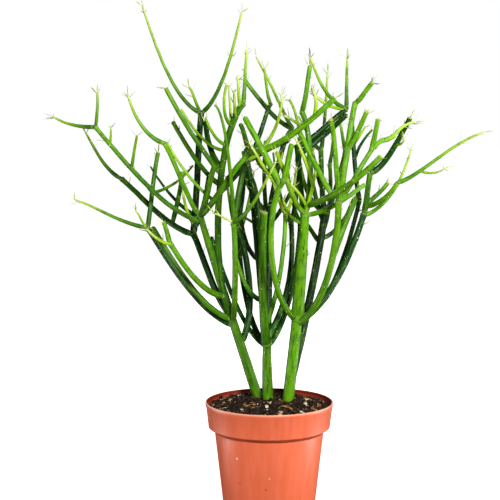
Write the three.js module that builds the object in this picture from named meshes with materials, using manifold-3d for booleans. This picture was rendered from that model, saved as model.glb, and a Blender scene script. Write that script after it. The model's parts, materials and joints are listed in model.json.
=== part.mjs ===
// A pencil euphorbia in a terracotta-coloured nursery pot: five rooted cuttings, the potting mix that
// holds them, bark chips and perlite pressed into its surface, and the small leaves at the shoot tips.
//
// Millimetres, +Z up. The origin is the middle of the pot's flat base, +X is to the right of the
// front view and +Y points to the back.
import * as THREE from "three";
import { mergeVertices } from "three/addons/utils/BufferGeometryUtils.js";
import Module from "manifold-3d";

const wasm = await Module();
wasm.setup();

// ---------------------------------------------------------------- driving dimensions

// The pot: a moulded 12 cm nursery pot.
const RIM_RADIUS = 60;
const POT_HEIGHT = 105;
const BAND_HEIGHT = 23;
const BAND_FLARE = 3;
const SHOULDER_WIDTH = 5.4;
const SHOULDER_HEIGHT = 4;
const BASE_RADIUS = 42.6;
const WALL = 1.5;
const BASE_THICKNESS = 2;
const DRAIN_HOLES = 8;
const DRAIN_HOLE_RADIUS = 4;
const DRAIN_RING_RADIUS = 29;
const DRAIN_GROOVE_WIDTH = 3;
const DRAIN_GROOVE_DEPTH = 1;

// The potting mix: how far its edge lies under the rim, and how high it is heaped in the middle.
const MIX_BELOW_RIM = 6.5;
const MIX_HEAP = 6;
const MIX_LUMP = 0.7;
const ROOTED_DEPTH = 23;

// The plant: its height over the mix and its full width, and the same two as the limbs are listed.
const PLANT_HEIGHT = 371;
const CROWN_WIDTH = 397;
const LISTED_HEIGHT = 371;
const LISTED_WIDTH = 397;

// What meets without being joined keeps this gap.
const GAP = 0.3;

// Foot and end diameters of each kind of limb.
const KINDS = {
  left_trunk: [10.4, 5.6],
  middle_trunk: [11.4, 7.4],
  right_trunk: [11.4, 8.0],
  right_shoulder: [12.4, 9.4],
  rear_trunk: [8.6, 7.0],
  thick_cane: [9.0, 6.6],
  cane: [6.6, 5.8],
  arm: [5.8, 4.8],
  shoot: [4.8, 4.0],
  whip: [4.4, 1.8],
  twig: [3.4, 2.2],
  spur: [2.6, 1.4],
};

// Leaves: thin and strap-like, two or three at a growing tip.
const LEAF_LENGTH = 9;
const LEAF_WIDTH = 1.5;
const LEAF_THICKNESS = 0.7;

const TRUNK_SIDES = 8;
const ARM_SIDES = 6;
const TWIG_SIDES = 5;
const THIN = 5;
const TUBE_STEP = 34;
const KNUCKLE = 1.12;

// A limb's end face as a share of its end radius, and the last ring's place in steps before the end.
const END_FACE = 0.5;
const DOME_STEP = 0.25;

// The share of its rise that a limb keeps back as it leaves a joint, so that it sets off sideways.
const FLARE = 0.32;
const POT_SIDES = 48;

// ---------------------------------------------------------------- the growth lists

// Where each cutting stands in the mix, measured from the pot's axis.
const FEET = {
  stem_left: [-3, 21],
  stem_middle: [0, 8],
  stem_right: [15, 4],
  stem_rear_right: [12, 26],
  stem_rear_middle: [-3, 33],
};

// One row for each limb: its name, the limb that it grows from, how far along that limb (0 at its
// foot, 1 at its end), its end point, how far its middle is bowed off the straight line, and its kind.
// Heights are over the heaped mix.
const CUTTINGS = {
  stem_left: [
    ["trunk", null, 0, [-64, 2, 175], [-5, 1, 12], "left_trunk"],
    ["inner_arm", "trunk", 0.33, [-31, 38, 161], [11, 4, -9], "cane"],
    ["inner_arm_top", "inner_arm", 1, [-22, 64, 235], [2, 1, -1], "shoot"],
    ["front_arm", "trunk", 0.43, [-33, -30, 172], [2, -8, 1], "arm"],
    ["front_arm_left", "front_arm", 1, [-49, -60, 276], [4, -5, 7], "whip"],
    ["front_arm_right", "front_arm", 1, [4, -92, 228], [0, -5, -8], "whip"],
    ["front_arm_spur", "front_arm", 0.97, [-51, -48, 181], [-1, 1, 1], "spur"],
    ["tall_cane", "trunk", 0.44, [-24, -10, 278], [-18, 1, 1], "cane"],
    ["tall_cane_tip", "tall_cane", 1, [-21, -8, 326], [0, -1, -1], "whip"],
    ["tall_cane_left", "tall_cane", 0.64, [-96, 14, 292], [-1, 1, -3], "shoot"],
    ["tall_cane_low", "tall_cane", 0.6, [-91, 38, 261], [1, 3, -8], "shoot"],
    ["tall_cane_twig", "tall_cane", 0.85, [-39, -34, 294], [-4, -8, -4], "twig"],
    ["tall_cane_stub", "tall_cane", 0.9, [-32, -36, 288], [0, -3, -3], "twig"],
    ["tall_cane_dark", "tall_cane", 0.57, [-23, 26, 220], [0, -1, 0], "arm"],
    ["tall_cane_inner", "tall_cane", 0.66, [-60, 36, 262], [-3, -1, -3], "arm"],
    ["tall_cane_high", "tall_cane", 0.74, [-82, 16, 273], [1, 0, -10], "twig"],
    ["tall_cane_curl", "tall_cane", 0.76, [-58, -26, 265], [-1, -1, -4], "twig"],
    ["tall_cane_lime", "tall_cane", 0.96, [-29, -22, 302], [0, -1, 0], "twig"],
    ["tall_cane_pale", "tall_cane", 0.84, [-38, -2, 295], [0, 0, 6], "spur"],
    ["crossing_arm", "trunk", 1, [-18, -44, 234], [-3, -9, -4], "arm"],
    ["front_sweep", "crossing_arm", 1, [55, -82, 282], [3, -7, -5], "arm"],
    ["sweep_lime", "front_sweep", 0.72, [36, -82, 288], [2, 0, 2], "twig"],
    ["crossing_back", "crossing_arm", 1, [-27, -20, 259], [0, 2, 1], "shoot"],
    ["crossing_foot", "trunk", 1, [-50, -10, 221], [1, 0, 3], "arm"],
    ["front_arm_back", "front_arm", 1, [-22, -14, 224], [-1, 0, -3], "arm"],
    ["side_arm", "trunk", 1, [-95, -24, 242], [1, 3, -6], "shoot"],
    ["side_arm_tip", "side_arm", 1, [-127, -30, 285], [-5, -3, -4], "whip"],
    ["side_arm_twin", "tall_cane", 0.53, [-95, 4, 243], [-2, 2, -5], "twig"],
    ["long_arm", "trunk", 0.96, [-163, 26, 256], [0, 2, -12], "shoot"],
    ["long_arm_end", "long_arm", 1, [-205, 38, 266], [-1, 1, -3], "whip"],
    ["long_arm_up", "long_arm", 1, [-160, 20, 287], [1, -1, 0], "twig"],
    ["long_arm_spur", "long_arm", 0.86, [-149, 32, 257], [0, 2, 0], "spur"],
    ["long_arm_shoot", "long_arm", 0.66, [-122, 4, 249], [0, -2, 0], "twig"],
    ["second_stem", "trunk", 0.46, [-72, 38, 154], [-2, -1, -2], "cane"],
    ["fork_stem", "second_stem", 1, [-65, 60, 269], [0, 1, -1], "cane"],
    ["fork_left", "fork_stem", 1, [-121, 66, 371], [-4, -1, -13], "whip"],
    ["fork_right", "fork_stem", 1, [-26, 48, 364], [5, 0, -6], "whip"],
    ["fork_stub", "fork_stem", 1, [-77, 72, 294], [0, 2, 0], "twig"],
    ["fork_stem_lime", "fork_stem", 0.1, [-80, 24, 203], [-4, 0, 2], "twig"],
    ["fork_stem_low", "fork_stem", 0.05, [-58, 52, 209], [2, 0, -2], "shoot"],
    ["outer_arm", "second_stem", 1, [-142, 58, 206], [-2, 0, -4], "arm"],
    ["outer_arm_tip", "outer_arm", 1, [-178, 70, 251], [-4, 0, -1], "whip"],
    ["outer_arm_shoot", "outer_arm", 0.27, [-82, 34, 214], [2, 1, 5], "shoot"],
    ["rear_twig", "fork_stem", 0.2, [-116, 84, 217], [-1, 2, -5], "whip"],
    ["low_arm_front", "trunk", 0.55, [-90, -26, 151], [-2, -7, -7], "arm"],
    ["low_arm_lime", "low_arm_front", 1, [-111, -38, 166], [-1, 0, -2], "twig"],
    ["low_arm_stub", "low_arm_front", 1, [-97, -16, 170], [0, 1, 0], "shoot"],
    ["low_arm_middle", "trunk", 0.44, [-109, 8, 164], [-4, -7, -8], "arm"],
    ["low_arm_outer", "trunk", 0.41, [-115, 28, 161], [-2, 7, -13], "arm"],
    ["drooping_tip", "low_arm_outer", 1, [-184, 34, 187], [-4, 1, 0], "whip"],
    ["low_arm_spur", "low_arm_outer", 1, [-125, 20, 177], [-1, 0, 1], "spur"],
    ["upright_shoot", "low_arm_outer", 1, [-105, 40, 232], [-1, 2, -3], "shoot"],
    ["upright_twig", "upright_shoot", 0.5, [-74, 82, 218], [2, 2, -4], "twig"],
    ["upright_left", "upright_shoot", 0.5, [-130, 28, 219], [1, 0, 0], "twig"],
  ],
  stem_middle: [
    ["trunk", null, 0, [-2, 4, 52], [-1, 0, 12], "middle_trunk"],
    ["blunt_cane", "trunk", 1, [-5, -26, 180], [-3, -1, 0], "thick_cane"],
    ["back_cane", "trunk", 1, [-21, 44, 224], [1, 2, 0], "cane"],
    ["back_cane_left", "back_cane", 0.47, [-30, 78, 193], [-3, 5, -14], "shoot"],
    ["back_cane_twig", "back_cane", 0.63, [-28, 62, 171], [1, 1, -1], "twig"],
    ["back_cane_low", "back_cane", 0.28, [-32, 12, 138], [-2, -3, -8], "shoot"],
    ["back_cane_twin", "back_cane", 0.3, [-17, 22, 208], [3, -6, 15], "cane"],
    ["crown_dark", "back_cane", 1, [20, 52, 243], [-4, 0, -1], "arm"],
    ["lime_shoot", "back_cane", 1, [11, 30, 287], [11, -3, 0], "whip"],
    ["top_shoot", "back_cane", 1, [2, 62, 278], [2, 1, 1], "shoot"],
    ["top_shoot_tip", "top_shoot", 1, [-4, 66, 312], [-1, 2, -1], "twig"],
    ["left_arm", "trunk", 1, [-56, 72, 149], [2, 6, -24], "shoot"],
    ["left_back_arm", "trunk", 1, [-30, 86, 151], [-5, 3, -14], "arm"],
    ["left_back_tip", "left_back_arm", 1, [-42, 108, 206], [-2, 1, 1], "whip"],
    ["left_back_twig", "left_back_arm", 1, [-14, 98, 212], [3, 1, 1], "whip"],
    ["right_arm", "trunk", 1, [31, 66, 163], [7, 3, -8], "arm"],
    ["right_arm_tip", "right_arm", 1, [44, 72, 236], [2, -3, 0], "whip"],
    ["right_arm_twig", "right_arm", 1, [19, 98, 224], [-3, 2, 0], "whip"],
    ["dark_arm", "blunt_cane", 0.08, [21, 38, 165], [9, 4, -5], "arm"],
    ["dark_arm_left", "dark_arm", 1, [4, 40, 232], [-3, 1, -1], "whip"],
    ["dark_arm_right", "dark_arm", 1, [30, 52, 245], [2, 1, -2], "shoot"],
    ["dark_arm_tip", "dark_arm_right", 1, [19, 56, 282], [2, 0, 1], "twig"],
    ["near_arm", "blunt_cane", 0.18, [15, 8, 175], [4, -1, -5], "shoot"],
    ["near_arm_left", "near_arm", 1, [0, 2, 214], [0, 1, -1], "twig"],
    ["near_arm_right", "near_arm", 1, [25, 2, 220], [2, 0, 0], "twig"],
  ],
  stem_right: [
    ["trunk", null, 0, [32, -18, 178], [3, 1, 13], "right_trunk"],
    ["shoulder", "trunk", 0.44, [31, -13, 146], [0, 0, 2], "right_shoulder"],
    ["left_arm", "trunk", 0.44, [11, -78, 211], [-17, -9, -2], "arm"],
    ["left_arm_top", "left_arm", 1, [18, -84, 243], [0, -1, 0], "arm"],
    ["crown_cane", "left_arm", 0.95, [-23, -62, 266], [0, -1, 1], "arm"],
    ["crown_lime", "left_arm", 0.93, [-19, -62, 245], [-1, 1, -1], "whip"],
    ["right_arm", "trunk", 0.42, [60, -54, 192], [10, -5, -9], "cane"],
    ["right_arm_top", "right_arm", 1, [51, -84, 264], [1, -1, 0], "shoot"],
    ["shaded_arm", "right_arm", 0.62, [78, -20, 193], [-2, -2, -3], "cane"],
    ["right_arm_cane", "right_arm", 1, [75, -46, 278], [0, -2, 1], "arm"],
    ["right_arm_stub", "right_arm_cane", 0.5, [83, -70, 271], [1, 1, 0], "shoot"],
    ["right_arm_end", "right_arm_cane", 1, [89, -58, 296], [-1, 0, -2], "shoot"],
    ["leaning_shoot", "right_arm", 1, [101, -34, 245], [0, 0, 3], "shoot"],
    ["leaning_stub", "leaning_shoot", 0.72, [95, -44, 264], [1, 0, 2], "shoot"],
    ["elbow", "leaning_shoot", 1, [111, -26, 249], [0, 0, -1], "shoot"],
    ["elbow_tip", "elbow", 1, [132, -20, 261], [-3, -1, 1], "twig"],
    ["outer_arm", "trunk", 0.43, [88, 8, 176], [8, 0, -7], "cane"],
    ["inner_twin", "outer_arm", 0.38, [86, 34, 187], [1, 7, -7], "shoot"],
    ["inner_twin_top", "inner_twin", 1, [79, 46, 260], [-1, 2, 1], "shoot"],
    ["inner_twin_twig", "inner_twin_top", 0.5, [100, 62, 253], [-2, 2, 1], "twig"],
    ["outer_arm_up", "outer_arm", 1, [93, 2, 214], [0, -1, 0], "arm"],
    ["dark_diagonal", "outer_arm_up", 1, [128, -8, 265], [2, 3, -5], "arm"],
    ["dark_diagonal_spur", "dark_diagonal", 0.6, [122, -16, 246], [1, -1, -2], "spur"],
    ["reaching_foot", "outer_arm_up", 0.22, [116, -18, 206], [1, -2, -4], "shoot"],
    ["reaching_tip", "reaching_foot", 1, [192, -30, 252], [-2, 0, 0], "whip"],
    ["reaching_spur", "reaching_tip", 0.28, [156, -36, 220], [1, 1, -3], "spur"],
    ["rising_whip", "outer_arm", 0.98, [134, 32, 235], [4, 2, -11], "whip"],
    ["short_whip", "outer_arm_up", 0.3, [112, 26, 204], [0, 2, -2], "shoot"],
    ["front_whip", "trunk", 1, [5, -84, 236], [-1, -3, -5], "shoot"],
    ["left_twig", "trunk", 0.94, [12, -4, 191], [-2, 0, -5], "twig"],
    ["lower_diagonal", "trunk", 0.99, [86, -24, 205], [2, -5, -3], "shoot"],
    ["yellow_tip", "trunk", 1, [43, -42, 225], [1, -2, 4], "whip"],
    ["yellow_shoot", "yellow_tip", 0.5, [22, -54, 247], [1, -1, 0], "whip"],
    ["top_cane", "trunk", 1, [29, -14, 270], [6, -4, 0], "arm"],
    ["top_cane_tip", "top_cane", 1, [36, -20, 312], [0, -1, -4], "shoot"],
    ["upper_diagonal", "top_cane", 0.12, [93, -100, 233], [-1, -16, -5], "arm"],
    ["crown_shoot", "upper_diagonal", 0.35, [26, -44, 253], [-1, -1, 0], "shoot"],
    ["top_cane_lime", "top_cane", 0.78, [13, -8, 267], [-1, 1, 1], "twig"],
    ["front_twig", "top_cane", 0.1, [17, -44, 206], [-1, -2, 4], "twig"],
    ["rear_cane", "trunk", 1, [26, 28, 238], [-1, 5, 1], "arm"],
    ["dark_link", "rear_cane", 1, [73, 36, 273], [-2, 2, -4], "arm"],
    ["arching_tip", "dark_link", 1, [38, 22, 321], [-5, -1, -4], "whip"],
    ["upright_tip", "dark_link", 1, [74, 42, 321], [0, 3, 1], "whip"],
    ["dark_link_twin", "rear_cane", 0.8, [73, 26, 268], [0, 6, -2], "arm"],
    ["arching_twin", "dark_link", 1, [39, 26, 292], [-3, -1, -5], "twig"],
  ],
  stem_rear_right: [
    ["trunk", null, 0, [54, 50, 174], [4, 0, 5], "rear_trunk"],
    ["left_twig", "trunk", 0.84, [35, 78, 162], [0, 2, 1], "shoot"],
    ["right_arm", "trunk", 0.86, [87, 82, 188], [3, 6, -6], "shoot"],
    ["top_cane", "trunk", 1, [51, 72, 233], [-1, 1, -1], "arm"],
    ["top_cane_tip", "top_cane", 1, [58, 84, 309], [1, 2, 0], "whip"],
    ["top_cane_left", "top_cane", 1, [30, 100, 266], [-1, 4, -2], "whip"],
    ["inner_shoot", "top_cane", 0.4, [40, 84, 243], [0, 10, -1], "shoot"],
    ["left_arm", "trunk", 1, [31, 98, 222], [-4, 6, -6], "shoot"],
    ["side_arm", "trunk", 1, [76, 92, 232], [2, 5, -6], "shoot"],
    ["side_arm_left", "side_arm", 1, [69, 106, 269], [1, 3, -1], "whip"],
    ["side_arm_right", "side_arm", 1, [97, 104, 256], [2, 2, -1], "whip"],
    ["back_arm", "trunk", 0.9, [63, 130, 216], [4, 7, -4], "shoot"],
    ["back_arm_top", "back_arm", 1, [69, 136, 256], [0, 1, -1], "whip"],
    ["crown_left", "trunk", 0.95, [34, 80, 228], [0, 8, 3], "shoot"],
    ["crown_right", "trunk", 1, [76, 78, 233], [3, 8, 1], "shoot"],
  ],
  stem_rear_middle: [
    ["trunk", null, 0, [2, 66, 180], [0, -2, 10], "rear_trunk"],
    ["top_arm", "trunk", 1, [24, 78, 254], [-3, 3, 3], "arm"],
    ["high_tip", "top_arm", 1, [-12, 76, 323], [4, 0, -9], "whip"],
    ["left_tip", "top_arm", 1, [-24, 91, 302], [-1, 4, -5], "shoot"],
    ["top_arm_left", "top_arm", 0.4, [-13, 92, 233], [-4, 1, -5], "shoot"],
    ["crown_back", "trunk", 0.95, [-28, 98, 218], [-4, 7, -2], "shoot"],
    ["left_arm", "trunk", 0.78, [-25, 124, 231], [-3, 12, -4], "shoot"],
    ["back_arm", "trunk", 0.86, [-2, 134, 241], [-3, 7, -7], "shoot"],
    ["right_arm", "trunk", 0.9, [33, 130, 203], [2, 4, 1], "shoot"],
  ],
};

// Tips that carry a leaf of their own, as cutting, limb, and the leaf's bearing and rise in degrees.
const LEAVES = [
  ["stem_left", "fork_left", 120, 70],
  ["stem_left", "fork_left", 200, 35],
  ["stem_left", "fork_right", 80, 75],
  ["stem_left", "fork_right", 10, 30],
  ["stem_left", "tall_cane_tip", 100, 80],
  ["stem_left", "fork_stub", 110, 65],
  ["stem_left", "tall_cane_left", 185, 5],
  ["stem_left", "side_arm_tip", 110, 75],
  ["stem_left", "long_arm_end", 170, 20],
  ["stem_left", "long_arm_up", 95, 80],
  ["stem_left", "long_arm_up", 170, 45],
  ["stem_left", "drooping_tip", 100, 60],
  ["stem_left", "outer_arm_tip", 150, 60],
  ["stem_left", "upright_shoot", 80, 65],
  ["stem_left", "low_arm_spur", 100, 75],
  ["stem_left", "front_sweep", 20, 30],
  ["stem_left", "front_arm_right", 60, 70],
  ["stem_middle", "lime_shoot", 50, 70],
  ["stem_middle", "top_shoot_tip", 150, 60],
  ["stem_right", "top_cane_tip", 110, 70],
  ["stem_right", "arching_tip", 120, 80],
  ["stem_right", "upright_tip", 80, 75],
  ["stem_right", "upright_tip", 190, 20],
  ["stem_right", "right_arm_end", 40, 50],
  ["stem_right", "dark_diagonal", 30, 55],
  ["stem_right", "elbow_tip", 10, 5],
  ["stem_right", "reaching_tip", 15, 10],
  ["stem_right", "rising_whip", 60, 55],
  ["stem_right", "short_whip", 70, 65],
  ["stem_right", "reaching_spur", 0, 15],
  ["stem_rear_right", "top_cane_tip", 90, 75],
  ["stem_rear_middle", "high_tip", 120, 70],
];

// Bark chips and perlite grains on the mix: how far in from the pot's inner wall, bearing, turn (both
// in degrees), then length, width and thickness.
const BARK_CHIPS = [
  [28.5, 248, 20, 11, 6, 3],
  [16.5, 282, 75, 9, 5, 3],
  [32.5, 300, 130, 8, 6, 2.6],
  [13.5, 205, 40, 10, 5, 2.8],
  [12.5, 332, 100, 12, 5, 3],
  [21.5, 20, 10, 9, 6, 2.6],
  [9, 95, 60, 10, 6, 3],
  [23.5, 160, 150, 11, 5, 2.8],
];
const PERLITE_GRAINS = [
  [36.5, 262, 10, 4.4, 3.6, 3],
  [18.5, 230, 80, 3.6, 3.2, 2.6],
  [9.5, 302, 30, 4, 3.4, 2.8],
  [24.5, 350, 60, 4.2, 3.4, 3],
  [9.5, 60, 15, 3.8, 3.4, 2.8],
  [14.5, 130, 45, 4.2, 3.6, 3],
];

// ---------------------------------------------------------------- sizes worked out from those above

const bandFoot = POT_HEIGHT - BAND_HEIGHT;
const bandFootRadius = RIM_RADIUS - BAND_FLARE;
const bodyTop = bandFoot - SHOULDER_HEIGHT;
const bodyTopRadius = bandFootRadius - SHOULDER_WIDTH;
const mixEdge = POT_HEIGHT - MIX_BELOW_RIM;
const mixCrown = mixEdge + MIX_HEAP;
const heightScale = PLANT_HEIGHT / LISTED_HEIGHT;
const widthScale = CROWN_WIDTH / LISTED_WIDTH;
const rootScale = RIM_RADIUS / 60;

// ---------------------------------------------------------------- materials

const potPlastic = new THREE.MeshStandardMaterial({ color: 0xe4683f, roughness: 0.5 });
const peatMix = new THREE.MeshStandardMaterial({ color: 0x33241a, roughness: 0.95 });
const pineBark = new THREE.MeshStandardMaterial({ color: 0xa8713f, roughness: 0.9 });
const perlite = new THREE.MeshStandardMaterial({ color: 0xe9e2d2, roughness: 0.85 });
const frontSkin = new THREE.MeshStandardMaterial({ color: 0x4f9a20, roughness: 0.42 });
const rearSkin = new THREE.MeshStandardMaterial({ color: 0x2f7318, roughness: 0.45 });
const leafSkin = new THREE.MeshStandardMaterial({ color: 0xa9c850, roughness: 0.55 });

// ---------------------------------------------------------------- helpers

// A closed geometry as a manifold solid, its shared vertices merged first.
function solidOf(geometry) {
  const bare = geometry.clone();
  bare.deleteAttribute("normal");
  bare.deleteAttribute("uv");
  const merged = mergeVertices(bare, 1e-4);
  return new wasm.Manifold(
    new wasm.Mesh({
      numProp: 3,
      vertProperties: merged.attributes.position.array,
      triVerts: new Uint32Array(merged.index.array),
    }),
  );
}

function geometryOf(solid) {
  const mesh = solid.getMesh();
  const geometry = new THREE.BufferGeometry();
  geometry.setAttribute("position", new THREE.BufferAttribute(mesh.vertProperties, 3));
  geometry.setIndex(new THREE.BufferAttribute(mesh.triVerts, 1));
  geometry.computeVertexNormals();
  return geometry;
}

function namedMesh(name, geometry, material) {
  const mesh = new THREE.Mesh(geometry, material);
  mesh.name = name;
  return mesh;
}

// A lathe turned about Z from [radius, height] pairs.
function turned(profile, sides) {
  const points = profile.map(([r, z]) => new THREE.Vector2(r, z));
  return new THREE.LatheGeometry(points, sides).rotateX(Math.PI / 2);
}

// Height of the mix's surface at a place in the pot: heaped in the middle, with low lumps.
function mixHeight(x, y) {
  const edge = RIM_RADIUS - WALL;
  const share = Math.min(1, Math.hypot(x, y) / edge);
  const lump = Math.sin(x * 0.31 + 1.3) * Math.sin(y * 0.27 - 0.4) + Math.sin(x * 0.13 - y * 0.19);
  return mixCrown - MIX_HEAP * share ** 2.2 + 0.5 * MIX_LUMP * lump * (1 - share ** 6);
}

// ---------------------------------------------------------------- the pot

function potProfile() {
  const lip = WALL / 3;
  const innerFoot = BASE_RADIUS - WALL;
  return [
    [0, 0],
    [BASE_RADIUS - lip, 0],
    [BASE_RADIUS, lip],
    [bodyTopRadius, bodyTop],
    [bandFootRadius - lip, bandFoot - lip],
    [bandFootRadius, bandFoot],
    [RIM_RADIUS - lip, POT_HEIGHT - 2 * WALL],
    [RIM_RADIUS, POT_HEIGHT - WALL],
    [RIM_RADIUS - lip, POT_HEIGHT],
    [RIM_RADIUS - WALL, POT_HEIGHT - lip],
    [bandFootRadius - WALL, bandFoot + WALL],
    [bodyTopRadius - WALL, bodyTop + WALL],
    [innerFoot, BASE_THICKNESS],
    [0, BASE_THICKNESS],
  ];
}

function makePot() {
  let pot = solidOf(turned(potProfile(), POT_SIDES));
  const hole = new THREE.CylinderGeometry(DRAIN_HOLE_RADIUS, DRAIN_HOLE_RADIUS, 4 * BASE_THICKNESS, 12);
  hole.rotateX(Math.PI / 2).translate(DRAIN_RING_RADIUS, 0, 0);
  const grooveLength = BASE_RADIUS + WALL - DRAIN_RING_RADIUS;
  const groove = new THREE.BoxGeometry(grooveLength, DRAIN_GROOVE_WIDTH, 2 * DRAIN_GROOVE_DEPTH);
  groove.translate(DRAIN_RING_RADIUS + grooveLength / 2, 0, 0);
  for (let i = 0; i < DRAIN_HOLES; i++) {
    const turn = ((i + 0.5) * 2 * Math.PI) / DRAIN_HOLES;
    pot = pot.subtract(solidOf(hole.clone().rotateZ(turn)));
    pot = pot.subtract(solidOf(groove.clone().rotateZ(turn)));
  }
  return pot;
}

// ---------------------------------------------------------------- the cuttings

// A closed tapered tube along a curve: a capped cylinder whose rings are moved onto the curve.
// Its last stretch is drawn in to a blunt end.
function taperedTube(curve, footRadius, endRadius, sides) {
  const steps = Math.max(2, Math.round(curve.getLength() / TUBE_STEP)) + 1;
  const tube = new THREE.CylinderGeometry(1, 1, steps, sides, steps);
  const frames = curve.computeFrenetFrames(steps, false);
  const position = tube.attributes.position;
  const place = new THREE.Vector3();
  for (let i = 0; i < position.count; i++) {
    const ring = Math.round(position.getY(i) + steps / 2);
    const last = ring === steps;
    const along = last ? 1 : ring / (steps - 1 + DOME_STEP);
    const radius = last ? END_FACE * endRadius : THREE.MathUtils.lerp(footRadius, endRadius, along);
    place.copy(curve.getPointAt(Math.min(along, 1)));
    place.addScaledVector(frames.binormals[ring], radius * position.getX(i));
    place.addScaledVector(frames.normals[ring], radius * position.getZ(i));
    position.setXYZ(i, place.x, place.y, place.z);
  }
  return tube;
}

// The curves of one cutting, worked out limb by limb from its rows.
function limbCurves(cutting) {
  const limbs = new Map();
  const [footX, footY] = FEET[cutting];
  for (const [name, parent, at, end, bow, kind] of CUTTINGS[cutting]) {
    const foot = parent
      ? limbs.get(parent).curve.getPoint(at)
      : new THREE.Vector3(footX * rootScale, footY * rootScale, mixCrown - ROOTED_DEPTH);
    const tip = new THREE.Vector3(end[0] * widthScale, end[1] * widthScale, mixCrown + end[2] * heightScale);
    const bend = new THREE.Vector3(bow[0] * widthScale, bow[1] * widthScale, bow[2] * heightScale);
    const pull = foot.clone().lerp(tip, 0.5).addScaledVector(bend, 2);
    const leaving = foot.clone().lerp(pull, 2 / 3);
    const arriving = tip.clone().lerp(pull, 2 / 3);
    if (at === 1 || parent === "trunk") {
      leaving.z -= FLARE * (pull.z - foot.z);
      arriving.z += FLARE * (pull.z - foot.z);
    }
    const curve = new THREE.CubicBezierCurve3(foot, leaving, arriving, tip);
    const [footDiameter, endDiameter] = KINDS[kind];
    limbs.set(name, { curve, parent, at, footRadius: footDiameter / 2, endRadius: endDiameter / 2 });
  }
  return limbs;
}

// One cutting as one body: its limbs joined, with a knuckle wherever limbs grow from another's end.
function makeCutting(limbs) {
  let body = null;
  for (const limb of limbs.values()) {
    const thin = 2 * limb.footRadius < THIN;
    const sides = !limb.parent ? TRUNK_SIDES : thin ? TWIG_SIDES : ARM_SIDES;
    const tube = solidOf(taperedTube(limb.curve, limb.footRadius, limb.endRadius, sides));
    body = body ? body.add(tube) : tube;
  }
  const knuckled = new Set();
  for (const limb of limbs.values()) {
    if (limb.at === 1) knuckled.add(limb.parent);
  }
  for (const name of knuckled) {
    const { curve, endRadius } = limbs.get(name);
    const knuckle = new THREE.SphereGeometry(KNUCKLE * endRadius, ARM_SIDES, 3);
    const end = curve.getPoint(1);
    body = body.add(solidOf(knuckle.translate(end.x, end.y, end.z)));
  }
  return body;
}

// The room that a cutting needs in the mix: its trunk a gap wider all round and a gap deeper.
function rootSocket(limbs) {
  const { curve, footRadius, endRadius } = limbs.get("trunk");
  const wider = GAP / Math.cos(Math.PI / TRUNK_SIDES);
  const room = solidOf(taperedTube(curve, footRadius + wider, endRadius + wider, TRUNK_SIDES));
  const plug = new THREE.CylinderGeometry(footRadius + 3 * GAP, footRadius + 3 * GAP, 4 * GAP, TRUNK_SIDES);
  const up = new THREE.Vector3(0, 1, 0);
  plug.applyQuaternion(new THREE.Quaternion().setFromUnitVectors(up, curve.getTangent(0)));
  const foot = curve.getPoint(0).addScaledVector(curve.getTangent(0), GAP);
  return room.add(solidOf(plug.translate(foot.x, foot.y, foot.z)));
}

// ---------------------------------------------------------------- the mix and what lies in it

function makeMix() {
  const rings = 5;
  const profile = [[0, BASE_THICKNESS + GAP]];
  profile.push([BASE_RADIUS - WALL - GAP, BASE_THICKNESS + GAP]);
  profile.push([bodyTopRadius - WALL - GAP, bodyTop + WALL + GAP]);
  profile.push([bandFootRadius - WALL - GAP, bandFoot + WALL + GAP]);
  const flare = (BAND_FLARE * (mixEdge - bandFoot)) / BAND_HEIGHT;
  const topRadius = bandFootRadius + flare - WALL - 2 * GAP;
  for (let i = 0; i < rings; i++) {
    profile.push([topRadius * (1 - i / rings), mixEdge]);
  }
  profile.push([0, mixEdge]);
  const mix = turned(profile, POT_SIDES);
  const position = mix.attributes.position;
  for (let i = 0; i < position.count; i++) {
    if (position.getZ(i) > mixEdge - 0.01) {
      position.setZ(i, mixHeight(position.getX(i), position.getY(i)));
    }
  }
  return solidOf(mix);
}

// A chip or grain half pressed into the mix, made again a gap larger to cut its bed.
function bedded(shape, [inset, bearing, turn, length, width, thickness], extra) {
  const angle = THREE.MathUtils.degToRad(bearing);
  const x = (RIM_RADIUS - WALL - inset) * Math.cos(angle);
  const y = (RIM_RADIUS - WALL - inset) * Math.sin(angle);
  const piece = shape.clone();
  piece.scale(length / 2 + extra, width / 2 + extra, thickness / 2 + extra);
  piece.rotateZ(THREE.MathUtils.degToRad(turn));
  return piece.translate(x, y, mixHeight(x, y) + 0.2 * thickness);
}

function chipShape() {
  const outline = new THREE.Shape([
    new THREE.Vector2(-1, -0.35),
    new THREE.Vector2(-0.2, -1),
    new THREE.Vector2(0.75, -0.8),
    new THREE.Vector2(1, 0.1),
    new THREE.Vector2(0.55, 0.9),
    new THREE.Vector2(-0.5, 1),
    new THREE.Vector2(-0.85, 0.5),
  ]);
  return new THREE.ExtrudeGeometry(outline, { depth: 2, bevelEnabled: false }).translate(0, 0, -1);
}

function grainShape() {
  return new THREE.DodecahedronGeometry(1, 0);
}

// ---------------------------------------------------------------- leaves

// A leaf that stands a gap off its shoot's tip, pointing along its bearing and rise.
function makeLeaf(limb, bearing, rise) {
  const leaf = new THREE.SphereGeometry(1, 6, 4);
  leaf.scale(LEAF_WIDTH / 2, LEAF_LENGTH / 2, LEAF_THICKNESS / 2);
  leaf.translate(0, LEAF_LENGTH / 2, 0);
  const flat = THREE.MathUtils.degToRad(bearing);
  const up = THREE.MathUtils.degToRad(rise);
  const out = new THREE.Vector3(Math.cos(flat) * Math.cos(up), 0.15, Math.sin(up) + 0.001).normalize();
  const turn = new THREE.Quaternion().setFromUnitVectors(new THREE.Vector3(0, 1, 0), out);
  leaf.applyQuaternion(turn);
  const across = Math.sin(out.angleTo(limb.curve.getTangent(1)));
  const seat = limb.curve.getPoint(1).addScaledVector(out, END_FACE * limb.endRadius * across + GAP);
  return leaf.translate(seat.x, seat.y, seat.z);
}

// ---------------------------------------------------------------- the assembly

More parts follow.
